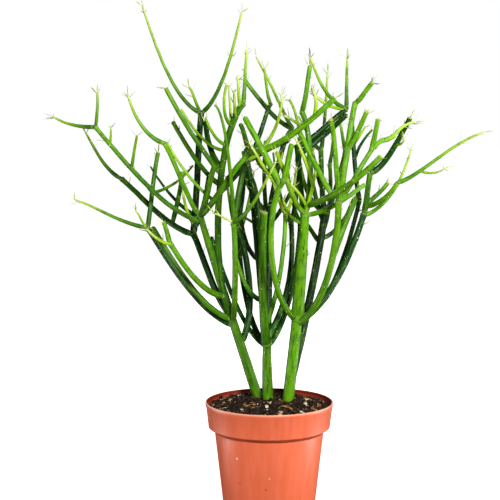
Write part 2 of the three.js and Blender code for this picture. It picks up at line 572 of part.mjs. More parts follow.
const plant = new THREE.Group();
plant.name = "potted_euphorbia";
plant.add(namedMesh("nursery_pot", geometryOf(makePot()), potPlastic));

const cuttings = new Map(Object.keys(CUTTINGS).map((name) => [name, limbCurves(name)]));
let mix = makeMix();
for (const [name, limbs] of cuttings) {
  const skin = name.includes("rear") ? rearSkin : frontSkin;
  plant.add(namedMesh(name, geometryOf(makeCutting(limbs)), skin));
  mix = mix.subtract(rootSocket(limbs));
}

BARK_CHIPS.forEach((row, i) => {
  mix = mix.subtract(solidOf(bedded(chipShape(), row, GAP)));
  plant.add(namedMesh(`bark_chip_${i + 1}`, bedded(chipShape(), row, 0), pineBark));
});
PERLITE_GRAINS.forEach((row, i) => {
  mix = mix.subtract(solidOf(bedded(grainShape(), row, GAP)));
  plant.add(namedMesh(`perlite_grain_${i + 1}`, bedded(grainShape(), row, 0), perlite));
});
plant.add(namedMesh("potting_mix", geometryOf(mix), peatMix));

LEAVES.forEach(([cutting, limbName, bearing, rise], i) => {
  const limb = cuttings.get(cutting).get(limbName);
  plant.add(namedMesh(`leaf_${i + 1}`, makeLeaf(limb, bearing, rise), leafSkin));
});

export default plant;
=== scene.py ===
# %% [markdown]
# # A pencil euphorbia in a terracotta-coloured nursery pot
# Five rooted cuttings stand in dark potting mix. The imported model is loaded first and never
# moved: it says where each piece is, and the pieces made here take its place with finer shapes.
# Lengths are in millimetres in the tables and in metres in the scene.

import json
import math
import random

import bmesh
import bpy
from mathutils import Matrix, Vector, noise

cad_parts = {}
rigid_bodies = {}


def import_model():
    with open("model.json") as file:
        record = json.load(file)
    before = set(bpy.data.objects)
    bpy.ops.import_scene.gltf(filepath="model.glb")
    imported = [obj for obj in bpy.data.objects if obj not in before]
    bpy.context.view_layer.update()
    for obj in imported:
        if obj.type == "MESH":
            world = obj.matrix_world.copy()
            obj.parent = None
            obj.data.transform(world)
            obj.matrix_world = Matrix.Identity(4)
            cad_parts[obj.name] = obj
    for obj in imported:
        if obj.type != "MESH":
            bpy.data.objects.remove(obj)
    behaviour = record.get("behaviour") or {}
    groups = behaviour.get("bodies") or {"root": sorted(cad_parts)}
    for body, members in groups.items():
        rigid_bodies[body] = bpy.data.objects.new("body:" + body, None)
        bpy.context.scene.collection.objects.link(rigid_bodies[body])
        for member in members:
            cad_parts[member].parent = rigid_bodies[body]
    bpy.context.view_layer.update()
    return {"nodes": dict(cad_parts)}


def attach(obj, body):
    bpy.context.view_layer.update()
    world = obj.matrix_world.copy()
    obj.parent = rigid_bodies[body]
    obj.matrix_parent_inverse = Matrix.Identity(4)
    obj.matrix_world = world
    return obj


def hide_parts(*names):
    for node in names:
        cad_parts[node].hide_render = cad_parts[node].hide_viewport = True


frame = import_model()
MM = 0.001
leaf_nodes = [name for name in frame["nodes"] if name.startswith("leaf_")]
chip_nodes = [name for name in frame["nodes"] if name.startswith("bark_chip_")]
grain_nodes = [name for name in frame["nodes"] if name.startswith("perlite_grain_")]

# %% [markdown]
# ## Camera
# The plant is seen from a little above the crown's middle, from about 1.2 m away, with a long
# lens, so that the pot and the tips are drawn without strong perspective.

# %% Place the camera
LENS = 96
CAMERA_PLACE = (-0.018, -1.2286, 0.3752)
CAMERA_DIP = 5.94
camera_data = bpy.data.cameras.new("camera")
camera_data.lens = LENS
camera_data.sensor_width = 36
camera_data.clip_end = 30
camera = bpy.data.objects.new("camera", camera_data)
camera.location = CAMERA_PLACE
camera.rotation_euler = (math.radians(90 - CAMERA_DIP), 0, 0)
bpy.context.scene.collection.objects.link(camera)
bpy.context.scene.camera = camera
bpy.context.scene.view_settings.view_transform = "Standard"
print("camera", tuple(camera.location))


# %% [markdown]
# ## Colours and nodes
# Colours are written as sRGB hex values and turned to the linear values that shaders work in.
# One small function adds a node to any tree, sets what it is given and links what it is given.


# %% Helpers for colours and nodes
def linear(hex_colour):
    """An sRGB hex colour as the linear RGBA that a shader takes."""
    channels = [int(hex_colour[i : i + 2], 16) / 255 for i in (1, 3, 5)]
    curve = [c / 12.92 if c <= 0.04045 else ((c + 0.055) / 1.055) ** 2.4 for c in channels]
    return (*curve, 1)


def add_node(tree, kind, inputs=None, **settings):
    """A new node with its settings, each input given as a value or as a socket to link."""
    node = tree.nodes.new(kind)
    for name, value in settings.items():
        setattr(node, name, value)
    for name, value in (inputs or {}).items():
        if isinstance(value, bpy.types.NodeSocket):
            tree.links.new(value, node.inputs[name])
        else:
            node.inputs[name].default_value = value
    return node


def new_material(name, **shader):
    """A material whose principled shader has the given plain values."""
    material = bpy.data.materials.new(name)
    material.use_nodes = True
    shader_node = material.node_tree.nodes["Principled BSDF"]
    for socket, value in shader.items():
        shader_node.inputs[socket.replace("_", " ")].default_value = value
    return material, material.node_tree, shader_node


def ramp(tree, factor, stops):
    """A colour ramp through (position, hex colour) stops."""
    node = add_node(tree, "ShaderNodeValToRGB", {0: factor})
    node.color_ramp.elements[0].position = stops[0][0]
    node.color_ramp.elements[0].color = linear(stops[0][1])
    node.color_ramp.elements[1].position = stops[-1][0]
    node.color_ramp.elements[1].color = linear(stops[-1][1])
    for position, hex_colour in stops[1:-1]:
        node.color_ramp.elements.new(position).color = linear(hex_colour)
    return node.outputs[0]


def texture(tree, kind, size_mm, vector=None, **inputs):
    """A noise, Voronoi or wave texture whose cells measure about size_mm."""
    if vector is None:
        vector = add_node(tree, "ShaderNodeTexCoord").outputs["Object"]
    node = add_node(tree, kind, {"Vector": vector, "Scale": 1000 / size_mm})
    for name, value in inputs.items():
        node.inputs[name.replace("_", " ")].default_value = value
    return node


def mixed(tree, factor, first, second):
    """Two colours mixed by a factor; either may be a hex value or a socket."""
    colours = {6: first, 7: second}
    inputs = {i: linear(value) if isinstance(value, str) else value for i, value in colours.items()}
    return add_node(tree, "ShaderNodeMix", {0: factor, **inputs}, data_type="RGBA").outputs[2]


def band(tree, value, low, high, to_low=0.0, to_high=1.0):
    """A value spread from the range low..high onto to_low..to_high, and held there."""
    node = add_node(tree, "ShaderNodeMapRange", {0: value, 1: low, 2: high, 3: to_low, 4: to_high})
    return node.outputs[0]


def reckoned(tree, operation, first, second):
    """The result of a sum on two values or sockets."""
    return add_node(tree, "ShaderNodeMath", {0: first, 1: second}, operation=operation).outputs[0]


def bump(tree, shader_node, height, depth_mm):
    """Relief of a real depth under a shader."""
    node = add_node(tree, "ShaderNodeBump", {"Height": height, "Distance": depth_mm * MM, "Strength": 1.0})
    tree.links.new(node.outputs[0], shader_node.inputs["Normal"])


print("helpers ready")

# %% [markdown]
# ## Sizes of the pot
# The pot's plain sizes come first, because its plastic follows them too: the lip carries a painted
# highlight, and the inside of the mouth is darker than the outside.

# %% Sizes of the pot
RIM_RADIUS = 60.0
POT_HEIGHT = 105.0
BAND_HEIGHT = 23.0
BAND_FLARE = 3.0
SHOULDER_WIDTH = 5.4
SHOULDER_HEIGHT = 4.0
BASE_RADIUS = 42.6
WALL = 1.5
BASE_THICKNESS = 2.0
DRAIN_HOLES = 8
DRAIN_HOLE_RADIUS = 4.0
DRAIN_RING_RADIUS = 29.0
band_foot = POT_HEIGHT - BAND_HEIGHT
band_foot_radius = RIM_RADIUS - BAND_FLARE
body_top = band_foot - SHOULDER_HEIGHT
body_top_radius = band_foot_radius - SHOULDER_WIDTH
print("pot", 2 * RIM_RADIUS, "mm across and", POT_HEIGHT, "mm high")

# %% [markdown]
# ## The pot's plastic
# The pot is injection-moulded polypropylene, coloured through in terracotta orange. It gives a soft
# satin sheen. Handling leaves it faintly streaked from top to bottom, with pale scuffs. The lip is
# drawn paler as a painted highlight. The streaks come from noise that is stretched along Z. The
# inside of the mouth is a deeper red-brown than the outside.

# %% Moulded terracotta polypropylene
LIP_HIGHLIGHT_DEPTH = 2.0
LIP_HIGHLIGHT = 0.45
INSIDE_DEPTH = 0.9
DARK_MOUTH_FOOT = 94.0
DARK_MOUTH_TOP = 96.0
SOFT_EDGE = 0.4
pot_plastic, tree, shader = new_material(
    "moulded_terracotta_polypropylene", Roughness=0.42, IOR=1.49, Specular_IOR_Level=0.5
)
place = add_node(tree, "ShaderNodeTexCoord").outputs["Object"]
stretched = add_node(tree, "ShaderNodeMapping", {"Vector": place, "Scale": (1, 1, 0.06)}).outputs[0]
streaks = texture(tree, "ShaderNodeTexNoise", 5, stretched, Detail=4.0, Roughness=0.6)
cloud = texture(tree, "ShaderNodeTexNoise", 26, place, Detail=3.0)
streaked = ramp(tree, streaks.outputs[0], [(0.3, "#DA6440"), (0.5, "#DF6844"), (0.72, "#E4704E")])
clouded = mixed(tree, band(tree, cloud.outputs[0], 0.45, 0.75, 0, 0.3), streaked, "#D25C38")
axes = add_node(tree, "ShaderNodeSeparateXYZ", {0: place})
height = axes.outputs[2]
flat = add_node(tree, "ShaderNodeCombineXYZ", {0: axes.outputs[0], 1: axes.outputs[1]})
radius = add_node(tree, "ShaderNodeVectorMath", {0: flat.outputs[0]}, operation="LENGTH").outputs["Value"]
slant = {"Vector": place, "Rotation": (0.5, 0.7, 0.3), "Scale": (1, 1, 0.09)}
slanted = add_node(tree, "ShaderNodeMapping", slant).outputs[0]
scratches = texture(tree, "ShaderNodeTexVoronoi", 9, slanted)
scratched = band(tree, scratches.outputs["Distance"], 0.03, 0.06, 0.45, 0)
scuffed = mixed(tree, scratched, clouded, "#F3B79B")
speck_cells = texture(tree, "ShaderNodeTexVoronoi", 14, place)
specks = band(tree, speck_cells.outputs["Distance"], 0.04, 0.07, 0.85, 0)
chalk_cells = texture(tree, "ShaderNodeTexVoronoi", 19, place)
chalk = band(tree, chalk_cells.outputs["Distance"], 0.04, 0.08, 0.7, 0)
specked = mixed(tree, chalk, mixed(tree, specks, scuffed, "#8A2E14"), "#FFD9C8")
# Painted highlight: the top of the lip is drawn paler, as if lit.
lip = band(tree, height, (POT_HEIGHT - LIP_HIGHLIGHT_DEPTH) * MM, (POT_HEIGHT - SOFT_EDGE) * MM)
lip_highlighted = mixed(tree, reckoned(tree, "MULTIPLY", lip, LIP_HIGHLIGHT), specked, "#FFC9AD")
# The inner face of the mouth, above about 95 mm, is drawn a deeper red-brown.
inside_low, inside_high = (band_foot_radius - INSIDE_DEPTH) * MM, (RIM_RADIUS - INSIDE_DEPTH) * MM
inside_face = band(tree, height, band_foot * MM, POT_HEIGHT * MM, inside_low, inside_high)
inward = band(tree, reckoned(tree, "SUBTRACT", inside_face, radius), 0, SOFT_EDGE * MM)
at_mouth = band(tree, height, DARK_MOUTH_FOOT * MM, DARK_MOUTH_TOP * MM)
mouth_darkening = reckoned(tree, "MULTIPLY", inward, at_mouth)
tree.links.new(mixed(tree, mouth_darkening, lip_highlighted, "#7C1E0A"), shader.inputs["Base Color"])
gloss = band(tree, streaks.outputs[0], 0.3, 0.7, 0.34, 0.5)
tree.links.new(gloss, shader.inputs["Roughness"])
grain = texture(tree, "ShaderNodeTexNoise", 1.2, place, Detail=2.0)
bump(tree, shader, grain.outputs[0], 0.05)
print(pot_plastic.name)

# %% [markdown]
# ## The pot
# A nursery pot is one moulding: a thick upper band that stiffens it, a short shoulder under the band,
# a tapered body and a flat base with drain holes. It is round, so one profile is turned about Z, and
# the holes are cut out of the base.

# %% Helpers that turn and dress meshes
def mesh_from(shape, name):
    """A mesh from a bmesh, which is freed."""
    mesh = bpy.data.meshes.new(name)
    shape.to_mesh(mesh)
    shape.free()
    return mesh


def arc(centre, radius, start, end, steps=6):
    """Points of a profile along an arc, its angles in degrees from the outward direction."""
    turns = [math.radians(start + (end - start) * i / steps) for i in range(steps + 1)]
    return [(centre[0] + radius * math.cos(t), centre[1] + radius * math.sin(t)) for t in turns]


def turned_mesh(name, profile, sides):
    """A closed solid turned about Z from a profile that starts and ends on the axis."""
    shape = bmesh.new()
    rings = []
    for r, z in profile:
        if r == 0:
            rings.append([shape.verts.new((0, 0, z * MM))])
            continue
        turns = [2 * math.pi * i / sides for i in range(sides)]
        rings.append([shape.verts.new((r * MM * math.cos(t), r * MM * math.sin(t), z * MM)) for t in turns])
    for low, high in zip(rings, rings[1:]):
        for i in range(sides):
            j = (i + 1) % sides
            corners = [low[i % len(low)], low[j % len(low)], high[j % len(high)], high[i % len(high)]]
            shape.faces.new(list(dict.fromkeys(corners)))
    bmesh.ops.recalc_face_normals(shape, faces=shape.faces)
    return mesh_from(shape, name)


def new_object(name, mesh, material):
    """An object at the origin with one material, smooth shaded."""
    piece = bpy.data.objects.new(name, mesh)
    bpy.context.scene.collection.objects.link(piece)
    if material:
        mesh.materials.clear()
        mesh.materials.append(material)
    mesh.polygons.foreach_set("use_smooth", [True] * len(mesh.polygons))
    return piece


def finished(piece):
    """The piece with its modifiers made part of its mesh."""
    mesh = bpy.data.meshes.new_from_object(piece.evaluated_get(bpy.context.evaluated_depsgraph_get()))
    piece.modifiers.clear()
    piece.data = mesh
    return piece


print("mesh helpers ready")

# %% Turn the pot and cut its drain holes
EDGE_ROUND = 1.0
SEAM_DEPTH = 0.5
POT_SIDES = 160
lip_radius = WALL / 2
profile = [(0, 0), (BASE_RADIUS - EDGE_ROUND - 0.2, 0)]
profile += arc((BASE_RADIUS - EDGE_ROUND, EDGE_ROUND), EDGE_ROUND, -90, -8)
# A fine seam runs under the shoulder, and the shoulder slopes out to the foot of the band.
profile += [(body_top_radius - SEAM_DEPTH, body_top - 1.1), (body_top_radius - SEAM_DEPTH, body_top - 0.3)]
profile += [(body_top_radius + 0.6, body_top), (band_foot_radius - 1.4, band_foot - 1.2)]
profile += arc((band_foot_radius - EDGE_ROUND, band_foot), EDGE_ROUND, -60, -4)
# The band steps out a little under the rounded lip.
profile += [(RIM_RADIUS - 1.0, POT_HEIGHT - 5.0), (RIM_RADIUS - 0.3, POT_HEIGHT - 3.6)]
profile += arc((RIM_RADIUS - lip_radius, POT_HEIGHT - lip_radius), lip_radius, -10, 190, 10)
profile += [(RIM_RADIUS - WALL - 0.2, POT_HEIGHT - 4), (band_foot_radius - WALL, band_foot + WALL)]
profile += [(body_top_radius - WALL, body_top + WALL), (BASE_RADIUS - WALL, BASE_THICKNESS)]
profile += [(0, BASE_THICKNESS)]
pot_mesh = turned_mesh("nursery_pot_moulding", profile, POT_SIDES)
pot = new_object("nursery_pot_moulding", pot_mesh, pot_plastic)

cutters = bmesh.new()
for i in range(DRAIN_HOLES):
    turn = (i + 0.5) * 2 * math.pi / DRAIN_HOLES
    spin = Vector((math.cos(turn), math.sin(turn), 0))
    made = bmesh.ops.create_cone(
        cutters, cap_ends=True, segments=32, radius1=DRAIN_HOLE_RADIUS * MM,
        radius2=DRAIN_HOLE_RADIUS * MM, depth=6 * BASE_THICKNESS * MM,
    )
    bmesh.ops.translate(cutters, verts=made["verts"], vec=spin * DRAIN_RING_RADIUS * MM)
cutter = bpy.data.objects.new("drain_cutters", mesh_from(cutters, "drain_cutters"))
bpy.context.scene.collection.objects.link(cutter)
cut = pot.modifiers.new("drain_holes", "BOOLEAN")
cut.operation = "DIFFERENCE"
cut.object = cutter
finished(pot)
bpy.data.objects.remove(cutter)
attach(pot, "root")
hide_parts("nursery_pot")
print(pot.name, len(pot.data.polygons), "faces")

# %% [markdown]
# ## The potting mix
# The mix is peat, bark fines and fibre, watered and settled, so its surface is lumpy and dark. The
# body of it is one turned solid whose top is raised by noise; the crumbs come next.

# %% Damp peat, and the mix's lumpy body
MIX_EDGE = 98.5
MIX_HEAP = 6.0
MIX_LUMP = 0.7
MIX_FIT = 0.4
MIX_TOP_RADIUS = 58.2
MIX_RINGS = 50
MIX_SIDES = 200
LEVEL_RIM = 4.0
peat, tree, shader = new_material("damp_peat", Roughness=0.92, Specular_IOR_Level=0.25)
lumps = texture(tree, "ShaderNodeTexNoise", 4, Detail=6.0, Roughness=0.7)
peat_colour = ramp(
    tree, lumps.outputs[0], [(0.32, "#0A0603"), (0.5, "#1E1209"), (0.62, "#463018"), (0.75, "#8A6844")]
)
tree.links.new(peat_colour, shader.inputs["Base Color"])
crumbs = texture(tree, "ShaderNodeTexVoronoi", 1.4)
bump(tree, shader, crumbs.outputs["Distance"], 0.8)


def mix_height(x, y):
    """The heaped surface of the mix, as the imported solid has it, in millimetres."""
    share = min(1.0, math.hypot(x, y) / (RIM_RADIUS - WALL))
    lump = math.sin(x * 0.31 + 1.3) * math.sin(y * 0.27 - 0.4) + math.sin(x * 0.13 - y * 0.19)
    return MIX_EDGE + MIX_HEAP * (1 - share**2.2) + 0.5 * MIX_LUMP * lump * (1 - share**6)


def lumpy_height(x, y):
    """The same surface with clods a few millimetres across."""
    spot = Vector((x, y, 0))
    clods = noise.fractal(spot / 7, 0.9, 2.2, 4) * 1.3 + noise.noise(spot / 2.2) * 0.5
    edge = min(1.0, max(0.0, (58 - math.hypot(x, y)) / LEVEL_RIM))
    return mix_height(x, y) + clods * (0.35 + 0.65 * edge)


mix_foot = BASE_THICKNESS + MIX_FIT
clearance = WALL + MIX_FIT
mix_profile = [(0, mix_foot), (BASE_RADIUS - clearance, mix_foot)]
mix_profile += [(body_top_radius - clearance, body_top + WALL)]
mix_profile += [(band_foot_radius - clearance, band_foot + WALL + 0.3)]
mix_profile += [(MIX_TOP_RADIUS * (1 - i / MIX_RINGS), MIX_EDGE) for i in range(MIX_RINGS + 1)]
mix_mesh = turned_mesh("potting_mix_body", mix_profile, MIX_SIDES)
for vertex in mix_mesh.vertices:
    if vertex.co.z > (MIX_EDGE - 0.01) * MM:
        vertex.co.z = lumpy_height(vertex.co.x / MM, vertex.co.y / MM) * MM
mix = new_object("potting_mix_body", mix_mesh, peat)
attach(mix, "root")
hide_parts("potting_mix")
print(mix.name, len(mix_mesh.polygons), "faces")

# %% [markdown]
# ## Crumbs, bark and perlite
# Thousands of loose pieces lie on the mix. Geometry Nodes scatter them: points are spread over the
# faces that look up, and each point gets one small piece with its own turn and size. A few rough
# shapes are enough, because no two lie the same way.

# %% A tree that scatters small pieces over the mix
def new_tree(name, inputs):
    """A geometry tree with a geometry in and out and the given named inputs."""
    made = bpy.data.node_groups.new(name, "GeometryNodeTree")
    made.interface.new_socket("Geometry", in_out="INPUT", socket_type="NodeSocketGeometry")
    for label, kind in inputs.items():
        made.interface.new_socket(label, in_out="INPUT", socket_type="NodeSocket" + kind)
    made.interface.new_socket("Geometry", in_out="OUTPUT", socket_type="NodeSocketGeometry")
    return made, made.nodes.new("NodeGroupInput").outputs


def end_tree(made, geometry, material):
    """Ends a tree with real geometry in the given material."""
    real = add_node(made, "GeometryNodeRealizeInstances", {"Geometry": geometry})
    smooth = add_node(made, "GeometryNodeSetShadeSmooth", {0: real.outputs[0], "Shade Smooth": True})
    dressed = add_node(made, "GeometryNodeSetMaterial", {0: smooth.outputs[0], "Material": material})
    output = made.nodes.new("NodeGroupOutput")
    made.links.new(dressed.outputs[0], output.inputs[0])


def grown(name, source, made, **values):
    """A plain mesh object from what a tree makes of a source mesh."""
    carrier = bpy.data.objects.new(name, source)
    bpy.context.scene.collection.objects.link(carrier)
    modifier = carrier.modifiers.new(name, "NODES")
    modifier.node_group = made
    for item in made.interface.items_tree:
        if item.in_out == "INPUT" and item.name in values:
            modifier[item.identifier] = values[item.name]
    carrier.update_tag()
    return finished(carrier)


FULL_TURN = 6.28
FACING_UP = 0.3
scatter_tree, given = new_tree(
    "scattered_on_the_mix",
    {"Piece": "Object", "Density": "Float", "Smallest": "Float", "Largest": "Float", "Tilt": "Float",
     "Reach": "Float", "Seed": "Int", "Material": "Material"},
)
normal = scatter_tree.nodes.new("GeometryNodeInputNormal").outputs[0]
upward = add_node(scatter_tree, "ShaderNodeSeparateXYZ", {0: normal}).outputs[2]
position = scatter_tree.nodes.new("GeometryNodeInputPosition").outputs[0]
flat = add_node(scatter_tree, "ShaderNodeVectorMath", {0: position, 1: (1, 1, 0)}, operation="MULTIPLY")
from_axis = add_node(scatter_tree, "ShaderNodeVectorMath", {0: flat.outputs[0]}, operation="LENGTH")
inside = add_node(
    scatter_tree, "FunctionNodeCompare", {0: from_axis.outputs["Value"], 1: given["Reach"]},
    operation="LESS_THAN",
)
on_top = add_node(scatter_tree, "FunctionNodeCompare", {0: upward, 1: FACING_UP}, operation="GREATER_THAN")
chosen = add_node(scatter_tree, "FunctionNodeBooleanMath", {0: inside.outputs[0], 1: on_top.outputs[0]})
spread = add_node(
    scatter_tree, "GeometryNodeDistributePointsOnFaces",
    {"Mesh": given["Geometry"], "Selection": chosen.outputs[0], "Density": given["Density"],
     "Seed": given["Seed"]},
)
tilt_back = reckoned(scatter_tree, "MULTIPLY", given["Tilt"], -1.0)
low_turn = add_node(scatter_tree, "ShaderNodeCombineXYZ", {0: tilt_back, 1: tilt_back, 2: 0.0})
high_turn = add_node(scatter_tree, "ShaderNodeCombineXYZ", {0: given["Tilt"], 1: given["Tilt"], 2: FULL_TURN})
turns = add_node(
    scatter_tree, "FunctionNodeRandomValue",
    {0: low_turn.outputs[0], 1: high_turn.outputs[0], "Seed": given["Seed"]}, data_type="FLOAT_VECTOR",
)
sizes = add_node(
    scatter_tree, "FunctionNodeRandomValue",
    {2: given["Smallest"], 3: given["Largest"], "Seed": given["Seed"]},
)
loose = add_node(scatter_tree, "GeometryNodeObjectInfo", {"Object": given["Piece"]})
placed = add_node(
    scatter_tree, "GeometryNodeInstanceOnPoints",
    {"Points": spread.outputs["Points"], "Instance": loose.outputs["Geometry"], "Rotation": turns.outputs[0],
     "Scale": sizes.outputs[1]},
)
end_tree(scatter_tree, placed.outputs[0], given["Material"])
print(scatter_tree.name, "has", len(scatter_tree.nodes), "nodes")

# %% [markdown]
# ## Pine bark, perlite and fibre
# Bark chips are broken, layered and run from tan to red-brown. Perlite is expanded volcanic glass:
# chalk white and pitted. Fibres are pale dry strands of coir. Each material varies from cell to cell,
# so that every chip has its own colour.

# %% Materials of the loose pieces
pine_bark, tree, shader = new_material("pine_bark", Roughness=0.85, Specular_IOR_Level=0.3)
chip_cells = texture(tree, "ShaderNodeTexVoronoi", 6)
cell_value = add_node(tree, "ShaderNodeSeparateColor", {0: chip_cells.outputs["Color"]}).outputs[0]
bark_base = ramp(
    tree, cell_value,
    [(0.0, "#1E0E05"), (0.4, "#4A2812"), (0.62, "#7E4A22"), (0.8, "#C08046"), (1.0, "#F0D4A2")],
)
layers = texture(tree, "ShaderNodeTexNoise", 0.9, Detail=4.0)
bark_dark = band(tree, layers.outputs[0], 0.35, 0.6, 0.55, 0)
tree.links.new(mixed(tree, bark_dark, bark_base, "#2C160A"), shader.inputs["Base Color"])
bump(tree, shader, layers.outputs[0], 0.4)

expanded_perlite, tree, shader = new_material("expanded_perlite", Roughness=0.8, Specular_IOR_Level=0.4)
pits = texture(tree, "ShaderNodeTexVoronoi", 0.9)
pitted = ramp(tree, pits.outputs["Distance"], [(0.0, "#8E7C5C"), (0.4, "#D8C8A4"), (0.8, "#F4ECD8")])
tree.links.new(pitted, shader.inputs["Base Color"])
bump(tree, shader, pits.outputs["Distance"], 0.35)

coir_fibre, tree, shader = new_material("coir_fibre", Roughness=0.7)
strand = texture(tree, "ShaderNodeTexNoise", 8)
tree.links.new(
    ramp(tree, strand.outputs[0], [(0.3, "#8A6238"), (0.6, "#CDA873")]), shader.inputs["Base Color"]
)
print(pine_bark.name, expanded_perlite.name, coir_fibre.name)


# %% Rough lumps, and what is scattered
def rough_lump(shape, size, squareness, roughness, seed, detail=2):
    """Adds a broken lump to a bmesh and returns its vertices: a ball squared off and then roughened."""
    made = bmesh.ops.create_icosphere(shape, subdivisions=detail, radius=1)
    for vertex in made["verts"]:
        squared = Vector([math.copysign(abs(c) ** squareness, c) for c in vertex.co])
        push = 1 + roughness * noise.noise(vertex.co * 2.1 + Vector((seed * 7.3, seed * 1.7, seed)))
        vertex.co = Vector([squared[i] * size[i] / 2 * push for i in range(3)])
    return made["verts"]


def loose_piece(name, size, squareness, roughness, seed, detail):
    """A lump of unit length to be scattered; it is removed once it has been used."""
    shape = bmesh.new()
    rough_lump(shape, size, squareness, roughness, seed, detail)
    return new_object(name, mesh_from(shape, name), None)


def sheathed(name, rings):
    """An object with faces between rings of four points, and a face over each end."""
    shape = bmesh.new()
    rings = [[shape.verts.new(point) for point in ring] for ring in rings]
    for low, high in zip(rings, rings[1:]):
        for i in range(4):
            shape.faces.new((low[i], low[(i + 1) % 4], high[(i + 1) % 4], high[i]))
    shape.faces.new(rings[0])
    shape.faces.new(rings[-1])
    bmesh.ops.recalc_face_normals(shape, faces=shape.faces)
    return new_object(name, mesh_from(shape, name), None)


def strand_piece(name, bend):
    """A thin curved strand of unit length."""
    around = [Vector((0, math.cos(a), math.sin(a))) * STRAND_THICKNESS for a in (0, 1.57, 3.14, 4.71)]
    rings = []
    for i in range(STRAND_STEPS + 1):
        t = i / STRAND_STEPS
        middle = Vector((t - 0.5, bend * math.sin(math.pi * t), 0.08 * math.sin(2.5 * math.pi * t)))
        rings.append([middle + offset for offset in around])
    return sheathed(name, rings)


STRAND_THICKNESS = 0.014
STRAND_STEPS = 8
STRANDS_PER_SQUARE_METRE = 4200.0
STRAND_LENGTHS = (7, 16)
STRAND_REACH = 46
LITTER_REACH = 55.5
# One row for each litter: its piece (size, squareness, roughness, seed and detail), the pieces on each
# square metre, the smallest and largest length in mm, the tilt in radians, its material and its slot.
LITTER = [
    ("peat_crumbs", ((1, 0.8, 0.7), 0.8, 0.5, 1, 1), 260000, 1.4, 3.6, 1.5, peat, "potting_mix"),
    ("peat_clods", ((1, 0.8, 0.6), 0.8, 0.9, 4, 2), 26000, 4.0, 8.0, 0.9, peat, "potting_mix"),
    ("bark_fines", ((1, 0.5, 0.25), 0.6, 0.4, 2, 2), 48000, 1.8, 6.0, 0.9, pine_bark, "bark"),
    ("perlite_fines", ((1, 0.9, 0.8), 0.8, 0.4, 3, 2), 9000, 1.0, 2.2, 1.5, expanded_perlite, "perlite"),
]
for seed, (name, shape_of, density, smallest, largest, tilt, material, slot) in enumerate(LITTER, 11):
    piece = loose_piece(name + "_shape", *shape_of)
    litter = grown(
        name, mix.data.copy(), scatter_tree, Piece=piece, Density=float(density), Smallest=smallest * MM,
        Largest=largest * MM, Tilt=tilt, Reach=LITTER_REACH * MM, Seed=seed, Material=material,
    )
    bpy.data.objects.remove(piece)
    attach(litter, "root")
    print(name, len(litter.data.polygons), "faces")
for seed, bend in ((21, 0.18), (22, -0.3)):
    piece = strand_piece("strand_shape", bend)
    shortest, longest = STRAND_LENGTHS
    litter = grown(
        f"coir_strands_{seed - 20}", mix.data.copy(), scatter_tree, Piece=piece,
        Density=STRANDS_PER_SQUARE_METRE, Smallest=shortest * MM, Largest=longest * MM, Tilt=0.25,
        Reach=STRAND_REACH * MM, Seed=seed, Material=coir_fibre,
    )
    bpy.data.objects.remove(piece)
    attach(litter, "root")
    print(litter.name, len(litter.data.polygons), "faces")

# %% [markdown]
# ## The larger chips and grains
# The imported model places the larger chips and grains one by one. Each is a broken lump here, made at
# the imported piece's own place, so that what collides is also what shows.

# %% Larger bark chips and perlite grains
# How far in from the pot's inner wall, bearing, turn, then length, width and thickness.
BARK_CHIPS = [
    (28.5, 248, 20, 11, 6, 3),
    (16.5, 282, 75, 9, 5, 3),
    (32.5, 300, 130, 8, 6, 2.6),
    (13.5, 205, 40, 10, 5, 2.8),
    (12.5, 332, 100, 12, 5, 3),
    (21.5, 20, 10, 9, 6, 2.6),
    (9, 95, 60, 10, 6, 3),
    (23.5, 160, 150, 11, 5, 2.8),
]
PERLITE_GRAINS = [
    (36.5, 262, 10, 4.4, 3.6, 3),
    (18.5, 230, 80, 3.6, 3.2, 2.6),
    (9.5, 302, 30, 4, 3.4, 2.8),
    (24.5, 350, 60, 4.2, 3.4, 3),
    (9.5, 60, 15, 3.8, 3.4, 2.8),
    (14.5, 130, 45, 4.2, 3.6, 3),
]


def bedded_lumps(name, rows, squareness, roughness, material, nodes):
    """One object of lumps pressed into the mix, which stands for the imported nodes."""
    shape = bmesh.new()
    for seed, (inset, bearing, turn, *size) in enumerate(rows):
        angle, distance = math.radians(bearing), RIM_RADIUS - WALL - inset
        x, y = distance * math.cos(angle), distance * math.sin(angle)
        vertices = rough_lump(shape, size, squareness, roughness, seed + 3, 4)
        spin = math.radians(turn)
        for vertex in vertices:
            px, py, pz = vertex.co
            vertex.co = Vector((
                x + px * math.cos(spin) - py * math.sin(spin),
                y + px * math.sin(spin) + py * math.cos(spin),
                mix_height(x, y) + 0.25 * size[2] + pz,
            )) * MM
    lumps_object = new_object(name, mesh_from(shape, name), material)
    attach(lumps_object, "root")
    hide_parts(*nodes)
    print(name, len(rows), "lumps")


bedded_lumps("bark_chips", BARK_CHIPS, 0.5, 0.35, pine_bark, chip_nodes)
bedded_lumps("perlite_grains", PERLITE_GRAINS, 0.8, 0.35, expanded_perlite, grain_nodes)

# %% [markdown]
# ## How the cuttings grew
# A pencil euphorbia grows in joints: from the end of one joint, or from its side, a whorl of
# pencil-thin limbs rises, and each bends upwards towards the light. So every limb is a short row: the
# limb it grows from, how far along that limb, where it ends, how its middle is bowed, and its kind.

# %% The growth lists
# Foot and end diameters of each kind of limb, and where each cutting stands.
KINDS = {
    "left_trunk": [10.4, 5.6],
    "middle_trunk": [11.4, 7.4],
    "right_trunk": [11.4, 8.0],
    "right_shoulder": [12.4, 9.4],
    "rear_trunk": [8.6, 7.0],
    "thick_cane": [9.0, 6.6],
    "cane": [6.6, 5.8],
    "arm": [5.8, 4.8],
    "shoot": [4.8, 4.0],
    "whip": [4.4, 1.8],
    "twig": [3.4, 2.2],
    "spur": [2.6, 1.4],
}
FEET = {
    "stem_left": [-3, 21],
    "stem_middle": [0, 8],
    "stem_right": [15, 4],
    "stem_rear_right": [12, 26],
    "stem_rear_middle": [-3, 33],
}
